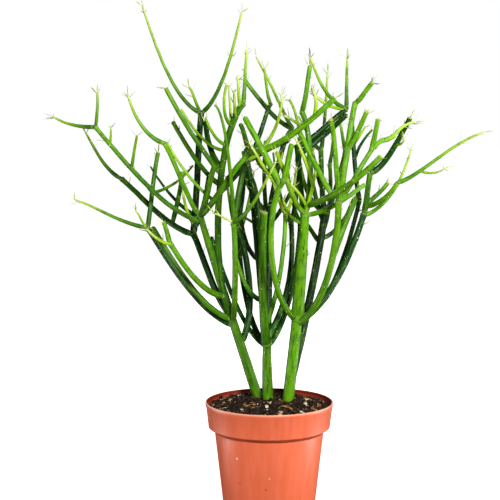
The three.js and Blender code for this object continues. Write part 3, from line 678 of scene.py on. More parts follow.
# Limb, parent, how far along the parent, end point over the mix, bow and kind.
CUTTINGS = {
    "stem_left": [
        ("trunk", None, 0, (-64, 2, 175), (-5, 1, 12), "left_trunk"),
        ("inner_arm", "trunk", 0.33, (-31, 38, 161), (11, 4, -9), "cane"),
        ("inner_arm_top", "inner_arm", 1, (-22, 64, 235), (2, 1, -1), "shoot"),
        ("front_arm", "trunk", 0.43, (-33, -30, 172), (2, -8, 1), "arm"),
        ("front_arm_left", "front_arm", 1, (-49, -60, 276), (4, -5, 7), "whip"),
        ("front_arm_right", "front_arm", 1, (4, -92, 228), (0, -5, -8), "whip"),
        ("front_arm_spur", "front_arm", 0.97, (-51, -48, 181), (-1, 1, 1), "spur"),
        ("tall_cane", "trunk", 0.44, (-24, -10, 278), (-18, 1, 1), "cane"),
        ("tall_cane_tip", "tall_cane", 1, (-21, -8, 326), (0, -1, -1), "whip"),
        ("tall_cane_left", "tall_cane", 0.64, (-96, 14, 292), (-1, 1, -3), "shoot"),
        ("tall_cane_low", "tall_cane", 0.6, (-91, 38, 261), (1, 3, -8), "shoot"),
        ("tall_cane_twig", "tall_cane", 0.85, (-39, -34, 294), (-4, -8, -4), "twig"),
        ("tall_cane_stub", "tall_cane", 0.9, (-32, -36, 288), (0, -3, -3), "twig"),
        ("tall_cane_dark", "tall_cane", 0.57, (-23, 26, 220), (0, -1, 0), "arm"),
        ("tall_cane_inner", "tall_cane", 0.66, (-60, 36, 262), (-3, -1, -3), "arm"),
        ("tall_cane_high", "tall_cane", 0.74, (-82, 16, 273), (1, 0, -10), "twig"),
        ("tall_cane_curl", "tall_cane", 0.76, (-58, -26, 265), (-1, -1, -4), "twig"),
        ("tall_cane_lime", "tall_cane", 0.96, (-29, -22, 302), (0, -1, 0), "twig"),
        ("tall_cane_pale", "tall_cane", 0.84, (-38, -2, 295), (0, 0, 6), "spur"),
        ("crossing_arm", "trunk", 1, (-18, -44, 234), (-3, -9, -4), "arm"),
        ("front_sweep", "crossing_arm", 1, (55, -82, 282), (3, -7, -5), "arm"),
        ("sweep_lime", "front_sweep", 0.72, (36, -82, 288), (2, 0, 2), "twig"),
        ("crossing_back", "crossing_arm", 1, (-27, -20, 259), (0, 2, 1), "shoot"),
        ("crossing_foot", "trunk", 1, (-50, -10, 221), (1, 0, 3), "arm"),
        ("front_arm_back", "front_arm", 1, (-22, -14, 224), (-1, 0, -3), "arm"),
        ("side_arm", "trunk", 1, (-95, -24, 242), (1, 3, -6), "shoot"),
        ("side_arm_tip", "side_arm", 1, (-127, -30, 285), (-5, -3, -4), "whip"),
        ("side_arm_twin", "tall_cane", 0.53, (-95, 4, 243), (-2, 2, -5), "twig"),
        ("long_arm", "trunk", 0.96, (-163, 26, 256), (0, 2, -12), "shoot"),
        ("long_arm_end", "long_arm", 1, (-205, 38, 266), (-1, 1, -3), "whip"),
        ("long_arm_up", "long_arm", 1, (-160, 20, 287), (1, -1, 0), "twig"),
        ("long_arm_spur", "long_arm", 0.86, (-149, 32, 257), (0, 2, 0), "spur"),
        ("long_arm_shoot", "long_arm", 0.66, (-122, 4, 249), (0, -2, 0), "twig"),
        ("second_stem", "trunk", 0.46, (-72, 38, 154), (-2, -1, -2), "cane"),
        ("fork_stem", "second_stem", 1, (-65, 60, 269), (0, 1, -1), "cane"),
        ("fork_left", "fork_stem", 1, (-121, 66, 371), (-4, -1, -13), "whip"),
        ("fork_right", "fork_stem", 1, (-26, 48, 364), (5, 0, -6), "whip"),
        ("fork_stub", "fork_stem", 1, (-77, 72, 294), (0, 2, 0), "twig"),
        ("fork_stem_lime", "fork_stem", 0.1, (-80, 24, 203), (-4, 0, 2), "twig"),
        ("fork_stem_low", "fork_stem", 0.05, (-58, 52, 209), (2, 0, -2), "shoot"),
        ("outer_arm", "second_stem", 1, (-142, 58, 206), (-2, 0, -4), "arm"),
        ("outer_arm_tip", "outer_arm", 1, (-178, 70, 251), (-4, 0, -1), "whip"),
        ("outer_arm_shoot", "outer_arm", 0.27, (-82, 34, 214), (2, 1, 5), "shoot"),
        ("rear_twig", "fork_stem", 0.2, (-116, 84, 217), (-1, 2, -5), "whip"),
        ("low_arm_front", "trunk", 0.55, (-90, -26, 151), (-2, -7, -7), "arm"),
        ("low_arm_lime", "low_arm_front", 1, (-111, -38, 166), (-1, 0, -2), "twig"),
        ("low_arm_stub", "low_arm_front", 1, (-97, -16, 170), (0, 1, 0), "shoot"),
        ("low_arm_middle", "trunk", 0.44, (-109, 8, 164), (-4, -7, -8), "arm"),
        ("low_arm_outer", "trunk", 0.41, (-115, 28, 161), (-2, 7, -13), "arm"),
        ("drooping_tip", "low_arm_outer", 1, (-184, 34, 187), (-4, 1, 0), "whip"),
        ("low_arm_spur", "low_arm_outer", 1, (-125, 20, 177), (-1, 0, 1), "spur"),
        ("upright_shoot", "low_arm_outer", 1, (-105, 40, 232), (-1, 2, -3), "shoot"),
        ("upright_twig", "upright_shoot", 0.5, (-74, 82, 218), (2, 2, -4), "twig"),
        ("upright_left", "upright_shoot", 0.5, (-130, 28, 219), (1, 0, 0), "twig"),
    ],
    "stem_middle": [
        ("trunk", None, 0, (-2, 4, 52), (-1, 0, 12), "middle_trunk"),
        ("blunt_cane", "trunk", 1, (-5, -26, 180), (-3, -1, 0), "thick_cane"),
        ("back_cane", "trunk", 1, (-21, 44, 224), (1, 2, 0), "cane"),
        ("back_cane_left", "back_cane", 0.47, (-30, 78, 193), (-3, 5, -14), "shoot"),
        ("back_cane_twig", "back_cane", 0.63, (-28, 62, 171), (1, 1, -1), "twig"),
        ("back_cane_low", "back_cane", 0.28, (-32, 12, 138), (-2, -3, -8), "shoot"),
        ("back_cane_twin", "back_cane", 0.3, (-17, 22, 208), (3, -6, 15), "cane"),
        ("crown_dark", "back_cane", 1, (20, 52, 243), (-4, 0, -1), "arm"),
        ("lime_shoot", "back_cane", 1, (11, 30, 287), (11, -3, 0), "whip"),
        ("top_shoot", "back_cane", 1, (2, 62, 278), (2, 1, 1), "shoot"),
        ("top_shoot_tip", "top_shoot", 1, (-4, 66, 312), (-1, 2, -1), "twig"),
        ("left_arm", "trunk", 1, (-56, 72, 149), (2, 6, -24), "shoot"),
        ("left_back_arm", "trunk", 1, (-30, 86, 151), (-5, 3, -14), "arm"),
        ("left_back_tip", "left_back_arm", 1, (-42, 108, 206), (-2, 1, 1), "whip"),
        ("left_back_twig", "left_back_arm", 1, (-14, 98, 212), (3, 1, 1), "whip"),
        ("right_arm", "trunk", 1, (31, 66, 163), (7, 3, -8), "arm"),
        ("right_arm_tip", "right_arm", 1, (44, 72, 236), (2, -3, 0), "whip"),
        ("right_arm_twig", "right_arm", 1, (19, 98, 224), (-3, 2, 0), "whip"),
        ("dark_arm", "blunt_cane", 0.08, (21, 38, 165), (9, 4, -5), "arm"),
        ("dark_arm_left", "dark_arm", 1, (4, 40, 232), (-3, 1, -1), "whip"),
        ("dark_arm_right", "dark_arm", 1, (30, 52, 245), (2, 1, -2), "shoot"),
        ("dark_arm_tip", "dark_arm_right", 1, (19, 56, 282), (2, 0, 1), "twig"),
        ("near_arm", "blunt_cane", 0.18, (15, 8, 175), (4, -1, -5), "shoot"),
        ("near_arm_left", "near_arm", 1, (0, 2, 214), (0, 1, -1), "twig"),
        ("near_arm_right", "near_arm", 1, (25, 2, 220), (2, 0, 0), "twig"),
    ],
    "stem_right": [
        ("trunk", None, 0, (32, -18, 178), (3, 1, 13), "right_trunk"),
        ("shoulder", "trunk", 0.44, (31, -13, 146), (0, 0, 2), "right_shoulder"),
        ("left_arm", "trunk", 0.44, (11, -78, 211), (-17, -9, -2), "arm"),
        ("left_arm_top", "left_arm", 1, (18, -84, 243), (0, -1, 0), "arm"),
        ("crown_cane", "left_arm", 0.95, (-23, -62, 266), (0, -1, 1), "arm"),
        ("crown_lime", "left_arm", 0.93, (-19, -62, 245), (-1, 1, -1), "whip"),
        ("right_arm", "trunk", 0.42, (60, -54, 192), (10, -5, -9), "cane"),
        ("right_arm_top", "right_arm", 1, (51, -84, 264), (1, -1, 0), "shoot"),
        ("shaded_arm", "right_arm", 0.62, (78, -20, 193), (-2, -2, -3), "cane"),
        ("right_arm_cane", "right_arm", 1, (75, -46, 278), (0, -2, 1), "arm"),
        ("right_arm_stub", "right_arm_cane", 0.5, (83, -70, 271), (1, 1, 0), "shoot"),
        ("right_arm_end", "right_arm_cane", 1, (89, -58, 296), (-1, 0, -2), "shoot"),
        ("leaning_shoot", "right_arm", 1, (101, -34, 245), (0, 0, 3), "shoot"),
        ("leaning_stub", "leaning_shoot", 0.72, (95, -44, 264), (1, 0, 2), "shoot"),
        ("elbow", "leaning_shoot", 1, (111, -26, 249), (0, 0, -1), "shoot"),
        ("elbow_tip", "elbow", 1, (132, -20, 261), (-3, -1, 1), "twig"),
        ("outer_arm", "trunk", 0.43, (88, 8, 176), (8, 0, -7), "cane"),
        ("inner_twin", "outer_arm", 0.38, (86, 34, 187), (1, 7, -7), "shoot"),
        ("inner_twin_top", "inner_twin", 1, (79, 46, 260), (-1, 2, 1), "shoot"),
        ("inner_twin_twig", "inner_twin_top", 0.5, (100, 62, 253), (-2, 2, 1), "twig"),
        ("outer_arm_up", "outer_arm", 1, (93, 2, 214), (0, -1, 0), "arm"),
        ("dark_diagonal", "outer_arm_up", 1, (128, -8, 265), (2, 3, -5), "arm"),
        ("dark_diagonal_spur", "dark_diagonal", 0.6, (122, -16, 246), (1, -1, -2), "spur"),
        ("reaching_foot", "outer_arm_up", 0.22, (116, -18, 206), (1, -2, -4), "shoot"),
        ("reaching_tip", "reaching_foot", 1, (192, -30, 252), (-2, 0, 0), "whip"),
        ("reaching_spur", "reaching_tip", 0.28, (156, -36, 220), (1, 1, -3), "spur"),
        ("rising_whip", "outer_arm", 0.98, (134, 32, 235), (4, 2, -11), "whip"),
        ("short_whip", "outer_arm_up", 0.3, (112, 26, 204), (0, 2, -2), "shoot"),
        ("front_whip", "trunk", 1, (5, -84, 236), (-1, -3, -5), "shoot"),
        ("left_twig", "trunk", 0.94, (12, -4, 191), (-2, 0, -5), "twig"),
        ("lower_diagonal", "trunk", 0.99, (86, -24, 205), (2, -5, -3), "shoot"),
        ("yellow_tip", "trunk", 1, (43, -42, 225), (1, -2, 4), "whip"),
        ("yellow_shoot", "yellow_tip", 0.5, (22, -54, 247), (1, -1, 0), "whip"),
        ("top_cane", "trunk", 1, (29, -14, 270), (6, -4, 0), "arm"),
        ("top_cane_tip", "top_cane", 1, (36, -20, 312), (0, -1, -4), "shoot"),
        ("upper_diagonal", "top_cane", 0.12, (93, -100, 233), (-1, -16, -5), "arm"),
        ("crown_shoot", "upper_diagonal", 0.35, (26, -44, 253), (-1, -1, 0), "shoot"),
        ("top_cane_lime", "top_cane", 0.78, (13, -8, 267), (-1, 1, 1), "twig"),
        ("front_twig", "top_cane", 0.1, (17, -44, 206), (-1, -2, 4), "twig"),
        ("rear_cane", "trunk", 1, (26, 28, 238), (-1, 5, 1), "arm"),
        ("dark_link", "rear_cane", 1, (73, 36, 273), (-2, 2, -4), "arm"),
        ("arching_tip", "dark_link", 1, (38, 22, 321), (-5, -1, -4), "whip"),
        ("upright_tip", "dark_link", 1, (74, 42, 321), (0, 3, 1), "whip"),
        ("dark_link_twin", "rear_cane", 0.8, (73, 26, 268), (0, 6, -2), "arm"),
        ("arching_twin", "dark_link", 1, (39, 26, 292), (-3, -1, -5), "twig"),
    ],
    "stem_rear_right": [
        ("trunk", None, 0, (54, 50, 174), (4, 0, 5), "rear_trunk"),
        ("left_twig", "trunk", 0.84, (35, 78, 162), (0, 2, 1), "shoot"),
        ("right_arm", "trunk", 0.86, (87, 82, 188), (3, 6, -6), "shoot"),
        ("top_cane", "trunk", 1, (51, 72, 233), (-1, 1, -1), "arm"),
        ("top_cane_tip", "top_cane", 1, (58, 84, 309), (1, 2, 0), "whip"),
        ("top_cane_left", "top_cane", 1, (30, 100, 266), (-1, 4, -2), "whip"),
        ("inner_shoot", "top_cane", 0.4, (40, 84, 243), (0, 10, -1), "shoot"),
        ("left_arm", "trunk", 1, (31, 98, 222), (-4, 6, -6), "shoot"),
        ("side_arm", "trunk", 1, (76, 92, 232), (2, 5, -6), "shoot"),
        ("side_arm_left", "side_arm", 1, (69, 106, 269), (1, 3, -1), "whip"),
        ("side_arm_right", "side_arm", 1, (97, 104, 256), (2, 2, -1), "whip"),
        ("back_arm", "trunk", 0.9, (63, 130, 216), (4, 7, -4), "shoot"),
        ("back_arm_top", "back_arm", 1, (69, 136, 256), (0, 1, -1), "whip"),
        ("crown_left", "trunk", 0.95, (34, 80, 228), (0, 8, 3), "shoot"),
        ("crown_right", "trunk", 1, (76, 78, 233), (3, 8, 1), "shoot"),
    ],
    "stem_rear_middle": [
        ("trunk", None, 0, (2, 66, 180), (0, -2, 10), "rear_trunk"),
        ("top_arm", "trunk", 1, (24, 78, 254), (-3, 3, 3), "arm"),
        ("high_tip", "top_arm", 1, (-12, 76, 323), (4, 0, -9), "whip"),
        ("left_tip", "top_arm", 1, (-24, 91, 302), (-1, 4, -5), "shoot"),
        ("top_arm_left", "top_arm", 0.4, (-13, 92, 233), (-4, 1, -5), "shoot"),
        ("crown_back", "trunk", 0.95, (-28, 98, 218), (-4, 7, -2), "shoot"),
        ("left_arm", "trunk", 0.78, (-25, 124, 231), (-3, 12, -4), "shoot"),
        ("back_arm", "trunk", 0.86, (-2, 134, 241), (-3, 7, -7), "shoot"),
        ("right_arm", "trunk", 0.9, (33, 130, 203), (2, 4, 1), "shoot"),
    ],
}
# These limbs were cut back, so they end bluntly and carry a dry pale face.
CUT_ENDS = {
    ("stem_left", "tall_cane_left"), ("stem_left", "tall_cane_low"), ("stem_left", "tall_cane_stub"),
    ("stem_left", "side_arm_twin"), ("stem_left", "fork_stub"), ("stem_left", "upright_shoot"),
    ("stem_left", "low_arm_stub"), ("stem_middle", "blunt_cane"), ("stem_middle", "back_cane_low"),
    ("stem_right", "right_arm_stub"), ("stem_right", "right_arm_end"), ("stem_right", "leaning_stub"),
    ("stem_right", "dark_diagonal"), ("stem_right", "upper_diagonal"), ("stem_right", "lower_diagonal"),
    ("stem_right", "right_arm_top"), ("stem_left", "front_sweep"),
}
# How young the skin is at the foot and the end of each kind, from 0 for the oldest to 1 for a tip.
YOUTH = {
    "left_trunk": (0.0, 0.2), "middle_trunk": (0.0, 0.15), "right_trunk": (0.05, 0.3),
    "right_shoulder": (0.05, 0.3), "rear_trunk": (0.0, 0.2), "thick_cane": (0.1, 0.55),
    "cane": (0.12, 0.32), "arm": (0.2, 0.5), "shoot": (0.3, 0.66),
    "whip": (0.42, 0.97), "twig": (0.5, 0.9), "spur": (0.7, 1.0),
}
MIX_CROWN = MIX_EDGE + MIX_HEAP
ROOTED_DEPTH = 23.0
FLARE = 0.32


def grow(cutting):
    """The limbs of one cutting by name, each with its four curve points and its radii in mm."""
    limbs = {}
    for name, parent, at, end, bow, kind in CUTTINGS[cutting]:
        if parent:
            foot = along(limbs[parent], at)
        else:
            foot = Vector((*FEET[cutting], MIX_CROWN - ROOTED_DEPTH))
        tip = Vector((end[0], end[1], MIX_CROWN + end[2]))
        pull = (foot + tip) / 2 + 2 * Vector(bow)
        held_back = Vector((0, 0, FLARE * (pull - foot).z)) if at == 1 or parent == "trunk" else Vector()
        points = (foot, foot.lerp(pull, 2 / 3) - held_back, tip.lerp(pull, 2 / 3) + held_back, tip)
        wide, narrow = KINDS[kind]
        limb = {"points": points, "radii": (wide / 2, narrow / 2), "kind": kind, "parent": parent, "at": at}
        chords = [along(limb, i / 16) for i in range(17)]
        limb["length"] = sum((q - p).length for p, q in zip(chords, chords[1:]))
        limbs[name] = limb
    for limb in limbs.values():
        limb["forks"] = any(other["parent"] and limbs[other["parent"]] is limb and other["at"] == 1
                            for other in limbs.values())
    return limbs


def along(limb, t):
    """A point on a limb's curve."""
    foot, leaving, arriving, tip = limb["points"]
    lower = foot * (1 - t) ** 3 + leaving * (3 * t * (1 - t) ** 2)
    return lower + arriving * (3 * t * t * (1 - t)) + tip * t**3


def plain_radius(limb, t):
    """A limb's radius at a share of its length, before any swelling."""
    wide, narrow = limb["radii"]
    return wide + (narrow - wide) * t


def heading(limb, t):
    """The direction a limb grows in at a point of its curve."""
    foot, leaving, arriving, tip = limb["points"]
    early, late = (leaving - foot).lerp(arriving - leaving, t), (arriving - leaving).lerp(tip - arriving, t)
    return early.lerp(late, t).normalized()


plants = {cutting: grow(cutting) for cutting in CUTTINGS}
print({cutting: len(limbs) for cutting, limbs in plants.items()}, "limbs")

# %% [markdown]
# ## The skin of the limbs
# The skin is green, smooth and waxy. Old wood is a deep dull green, young joints are lime and the very
# tips are yellow-green. At every joint there is a pale grey collar, and dry cut faces are straw
# coloured. Each limb's mesh carries how young it is, how near a collar and how much painted sunlight
# it gets, and the material reads these attributes. Darker grooves and paler ridges are painted light.


# %% Waxy euphorbia skin
def carried(tree, name, output="Fac"):
    """A value that the mesh carries at each point."""
    return add_node(tree, "ShaderNodeAttribute", attribute_name=name).outputs[output]


def skin_material(name, shade, sunlit, groove_painted_shade):
    """Waxy skin between a painted shaded and a painted sunlit green, with painted shade in the grooves and a
    painted highlight on the ridges along each limb.
    """
    material, tree, shader = new_material(name, Roughness=0.4, IOR=1.45, Specular_IOR_Level=0.25)
    youth, collar, sun, dry = [carried(tree, trait) for trait in ("youth", "collar", "sun", "dry")]
    around = carried(tree, "around", "Vector")
    place = add_node(tree, "ShaderNodeTexCoord").outputs["Object"]
    mottle = texture(tree, "ShaderNodeTexNoise", 9, place, Detail=5.0, Roughness=0.65)
    stripes = add_node(
        tree, "ShaderNodeTexNoise", {"Vector": around, "Scale": 2.2, "Detail": 3.0, "Roughness": 0.6}
    ).outputs[0]
    # Painted light: the old skin runs from a painted shaded to a painted sunlit green by the sun value.
    old = mixed(tree, sun, shade, sunlit)
    young = ramp(tree, youth, [(0.4, "#449404"), (0.66, "#7AB80C"), (0.88, "#B0D62C"), (1.0, "#E4F494")])
    green = mixed(tree, band(tree, youth, 0.3, 0.7), old, young)
    mottled = mixed(tree, band(tree, mottle.outputs[0], 0.5, 0.72, 0, 0.55), green, "#0E3A00")
    lighter = mixed(tree, band(tree, mottle.outputs[0], 0.44, 0.28, 0, 0.35), mottled, "#7CB422")
    # Painted shade in the grooves and a painted highlight on the ridges, following the stripes of the bump.
    grooves_painted_shade = mixed(tree, band(tree, stripes, 0.48, 0.34, 0, 0.6), lighter, groove_painted_shade)
    ridges_painted_highlight = mixed(tree, band(tree, stripes, 0.56, 0.72, 0, 0.32), grooves_painted_shade, "#9CC24A")
    flecks = texture(tree, "ShaderNodeTexVoronoi", 5, place)
    flecked = mixed(tree, band(tree, flecks.outputs["Distance"], 0.06, 0.11, 0.5, 0), ridges_painted_highlight, "#B4CC80")
    collared = mixed(tree, band(tree, collar, 0.3, 0.95, 0, 0.5), flecked, "#9AB466")
    tree.links.new(mixed(tree, dry, collared, "#B9C070"), shader.inputs["Base Color"])
    gloss = band(tree, mottle.outputs[0], 0.3, 0.7, 0.33, 0.5)
    tree.links.new(gloss, shader.inputs["Roughness"])
    bump(tree, shader, stripes, 0.35)
    return material


# The rear cuttings wear a darker copy of the skin: painted shade for the cuttings that stand behind.
front_skin = skin_material("waxy_front_skin", "#0A4200", "#66A204", "#062C00")
rear_skin_painted_shade = skin_material("waxy_rear_skin_painted_shade", "#082E00", "#226206", "#041E00")
print(front_skin.name, rear_skin_painted_shade.name)


# %% A tree that clothes limb lines in skin
skin_tree, given = new_tree("limb_skin", {"Sides": "Int", "Material": "Material"})
lines = add_node(skin_tree, "GeometryNodeMeshToCurve", {"Mesh": given["Geometry"]})
circle = {"Resolution": given["Sides"], "Radius": 1.0}
section = add_node(skin_tree, "GeometryNodeCurvePrimitiveCircle", circle)
corner = add_node(skin_tree, "GeometryNodeInputPosition").outputs[0]
rimmed = add_node(
    skin_tree, "GeometryNodeStoreNamedAttribute",
    {"Geometry": section.outputs[0], "Name": "rim", "Value": corner},
    data_type="FLOAT_VECTOR", domain="POINT",
)
girth = add_node(skin_tree, "GeometryNodeInputNamedAttribute", {"Name": "girth"}, data_type="FLOAT")
tubes = add_node(
    skin_tree, "GeometryNodeCurveToMesh",
    {"Curve": lines.outputs[0], "Profile Curve": rimmed.outputs[0], "Scale": girth.outputs[0],
     "Fill Caps": True},
)
rim = add_node(skin_tree, "GeometryNodeInputNamedAttribute", {"Name": "rim"}, data_type="FLOAT_VECTOR")
reach = add_node(skin_tree, "GeometryNodeInputNamedAttribute", {"Name": "reach"}, data_type="FLOAT")
lengthwise = add_node(skin_tree, "ShaderNodeCombineXYZ", {"Z": reach.outputs[0]})
around = add_node(
    skin_tree, "ShaderNodeVectorMath", {0: rim.outputs[0], 1: lengthwise.outputs[0]}, operation="ADD"
)
striped = add_node(
    skin_tree, "GeometryNodeStoreNamedAttribute",
    {"Geometry": tubes.outputs[0], "Name": "around", "Value": around.outputs[0]},
    data_type="FLOAT_VECTOR", domain="POINT",
)
end_tree(skin_tree, striped.outputs[0], given["Material"])
print(skin_tree.name, "has", len(skin_tree.nodes), "nodes")


# %% Limb lines with their girth and age
STEP = 2.4
LIMB_SIDES = 14
BLUNT = 0.45
# Limbs drawn limier (younger skin and painted sunlight), and limbs in painted shade (older, darker).
LIME_AND_PAINTED_SUN_LIMBS = {
    "stem_left": "low_arm_lime tall_cane_lime tall_cane_stub fork_stem_lime front_arm_spur sweep_lime",
    "stem_middle": "lime_shoot near_arm_left near_arm_right",
    "stem_right": "elbow elbow_tip front_whip yellow_tip yellow_shoot crown_lime top_cane_lime front_twig "
    "trunk arching_twin",
}
PAINTED_SHADE_LIMBS = {
    "stem_left": "second_stem fork_stem fork_stem_low tall_cane_dark tall_cane_inner front_arm_left "
    "front_arm_back low_arm_outer crossing_back rear_twig inner_arm inner_arm_top",
    "stem_middle": "back_cane back_cane_twin back_cane_left crown_dark dark_arm dark_arm_left dark_arm_right "
    "top_shoot left_arm left_back_arm right_arm",
    "stem_right": "shaded_arm dark_link dark_link_twin dark_diagonal rear_cane inner_twin inner_twin_top "
    "inner_twin_twig outer_arm",
    "stem_rear_right": "trunk",
    "stem_rear_middle": "trunk",
}


def is_listed(groups, cutting, name):
    """Whether a limb of a cutting is named in a group."""
    return name in groups.get(cutting, "").split()


def limb_stations(limb, cut_end):
    """Distances along a limb at which its girth is set, closer together at its end."""
    length, radius = limb["length"], limb["radii"][1]
    dome = radius * (BLUNT if cut_end else 1.0)
    count = max(4, round((length - dome) / STEP))
    stations = [(length - dome) * i / count for i in range(count + 1)]
    if not limb["forks"]:
        stations += [length - dome * (1 - math.sin(math.radians(a))) for a in (25, 45, 62, 76, 86)]
    else:
        stations += [length]
    return stations


def girth_at(limb, s, parent_radius, cut_end):
    """A limb's radius at a distance from its foot: tapered, waisted and swollen at its joints."""
    length = limb["length"]
    wide, narrow = limb["radii"]
    radius = wide + (narrow - wide) * s / length
    out = s - parent_radius
    if limb["parent"]:
        radius *= 1 - 0.1 * math.exp(-((out / 1.8) ** 2)) + 0.07 * math.exp(-(((out - 5) / 2.6) ** 2))
    if limb["forks"]:
        radius *= 1 + 0.16 * math.exp(-(((length - s) / 3.2) ** 2))
    else:
        dome = narrow * (BLUNT if cut_end else 1.0)
        past = s - (length - dome)
        if past > 0:
            rounded = math.sqrt(max(0.0, 1 - (past / dome) ** 2))
            radius *= 0.72 + 0.28 * rounded if cut_end else max(0.06, rounded)
    return radius


def limb_lines(cutting, limbs):
    """A mesh of lines, one for each limb, whose points carry girth, youth, collar, sun and dryness."""
    chance = random.Random(cutting)
    points, edges = [], []
    traits = {"girth": [], "youth": [], "collar": [], "sun": [], "dry": [], "reach": []}
    for name, limb in limbs.items():
        cut_end = (cutting, name) in CUT_ENDS
        parent = limbs.get(limb["parent"])
        parent_radius = 1.1 * plain_radius(parent, limb["at"]) if parent else 0.0
        forked_at = [other["at"] * limb["length"] for other in limbs.values() if other["parent"] == name]
        # Painted sunlight: each limb's sun value is shifted a little at random.
        painted_sun_offset = chance.uniform(-0.2, 0.2)
        young_foot, young_end = YOUTH[limb["kind"]]
        # Listed lime limbs get younger skin and more painted sunlight; limbs in painted shade get older skin
        # and less.
        if is_listed(LIME_AND_PAINTED_SUN_LIMBS, cutting, name):
            young_foot, young_end, painted_sun_offset = young_foot + 0.3, min(1.0, young_end + 0.15), painted_sun_offset + 0.3
        if is_listed(PAINTED_SHADE_LIMBS, cutting, name):
            young_foot, young_end, painted_sun_offset = young_foot * 0.3, young_end * 0.55, painted_sun_offset - 0.45
        loose = chance.uniform(0, 50)
        first = len(points)
        for s in limb_stations(limb, cut_end):
            t = s / limb["length"]
            spot = along(limb, t)
            wander = 0.25 * noise.noise(spot / 11) * min(1.0, s / 8) * min(1.0, (limb["length"] - s) / 8)
            points.append((spot + Vector((wander, wander, 0))) * MM)
            traits["girth"].append(girth_at(limb, s, parent_radius, cut_end) * MM)
            traits["youth"].append(young_foot + (young_end - young_foot) * t**1.3)
            near = [abs(s - parent_radius - 0.6)] if parent else []
            near += [abs(s - d) for d in forked_at if d > limb["length"] - 1]
            traits["collar"].append(max([math.exp(-((d / 1.5) ** 2)) for d in near], default=0.0))
            # Painted sunlight: limbs nearer the front are drawn a lighter green.
            traits["sun"].append(min(1.0, max(0.0, 0.45 - spot.y / 80 + painted_sun_offset)))
            traits["reach"].append(loose + s * 0.03)
            past = s - (limb["length"] - 0.2 * limb["radii"][1])
            traits["dry"].append(1.0 if cut_end and past > 0 else 0.0)
        edges += [(i, i + 1) for i in range(first, len(points) - 1)]
    mesh = bpy.data.meshes.new(cutting + "_lines")
    mesh.from_pydata(points, edges, [])
    for trait, values in traits.items():
        mesh.attributes.new(trait, "FLOAT", "POINT").data.foreach_set("value", values)
    return mesh


for cutting, limbs in plants.items():
    is_rear = "rear" in cutting
    name = cutting.replace("stem", "cutting")
    # The rear cuttings take the darker skin of painted shade.
    skin = rear_skin_painted_shade if is_rear else front_skin
    body = grown(name, limb_lines(cutting, limbs), skin_tree, Sides=LIMB_SIDES, Material=skin)
    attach(body, "root")
    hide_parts(cutting)
    print(name, len(limbs), "limbs,", len(body.data.polygons), "faces")

# %% [markdown]
# ## Leaves and leaf scars
# The leaves are tiny straps that sit at the tips and joints and soon fall, and each leaves a pale oval
# scar. One tree puts a small shape on every point of a cloud, turned to the way the point faces.

# %% A tree that sets small shapes on points
set_tree, given = new_tree("set_on_points", {"Piece": "Object", "Material": "Material"})
facing = add_node(set_tree, "GeometryNodeInputNamedAttribute", {"Name": "facing"}, data_type="FLOAT_VECTOR")
turned_to = add_node(set_tree, "FunctionNodeAlignRotationToVector", {"Vector": facing.outputs[0]}, axis="Z")
roll_range = {0: (0, 0, 0), 1: (0, 0, FULL_TURN), "Seed": 4}
roll = add_node(set_tree, "FunctionNodeRandomValue", roll_range, data_type="FLOAT_VECTOR")
rolled = add_node(
    set_tree, "FunctionNodeRotateRotation", {0: turned_to.outputs[0], 1: roll.outputs[0]},
    rotation_space="LOCAL",
)
size_of = add_node(set_tree, "GeometryNodeInputNamedAttribute", {"Name": "size"}, data_type="FLOAT_VECTOR")
small = add_node(set_tree, "GeometryNodeObjectInfo", {"Object": given["Piece"]})
cloud_points = add_node(set_tree, "GeometryNodeMeshToPoints", {"Mesh": given["Geometry"]})
set_out = add_node(
    set_tree, "GeometryNodeInstanceOnPoints",
    {"Points": cloud_points.outputs[0], "Instance": small.outputs["Geometry"], "Rotation": rolled.outputs[0],
     "Scale": size_of.outputs[0]},
)
end_tree(set_tree, set_out.outputs[0], given["Material"])
print(set_tree.name, "has", len(set_tree.nodes), "nodes")


# %% Leaf tissue and dry scar tissue
leaf_tissue, tree, shader = new_material("soft_leaf_tissue", Roughness=0.5)
tints = texture(tree, "ShaderNodeTexNoise", 14, Detail=2.0)
leaf_colour = ramp(
    tree, tints.outputs[0], [(0.34, "#6E6658"), (0.42, "#93A63C"), (0.52, "#BCD64E"), (0.7, "#E4F08A")]
)
tree.links.new(leaf_colour, shader.inputs["Base Color"])
scar_tissue, tree, shader = new_material("dry_leaf_scar", Roughness=0.8)
scar_tint = texture(tree, "ShaderNodeTexNoise", 3)
tree.links.new(
    ramp(tree, scar_tint.outputs[0], [(0.35, "#A9AC84"), (0.6, "#DDE2C0")]), shader.inputs["Base Color"]
)
print(leaf_tissue.name, scar_tissue.name)


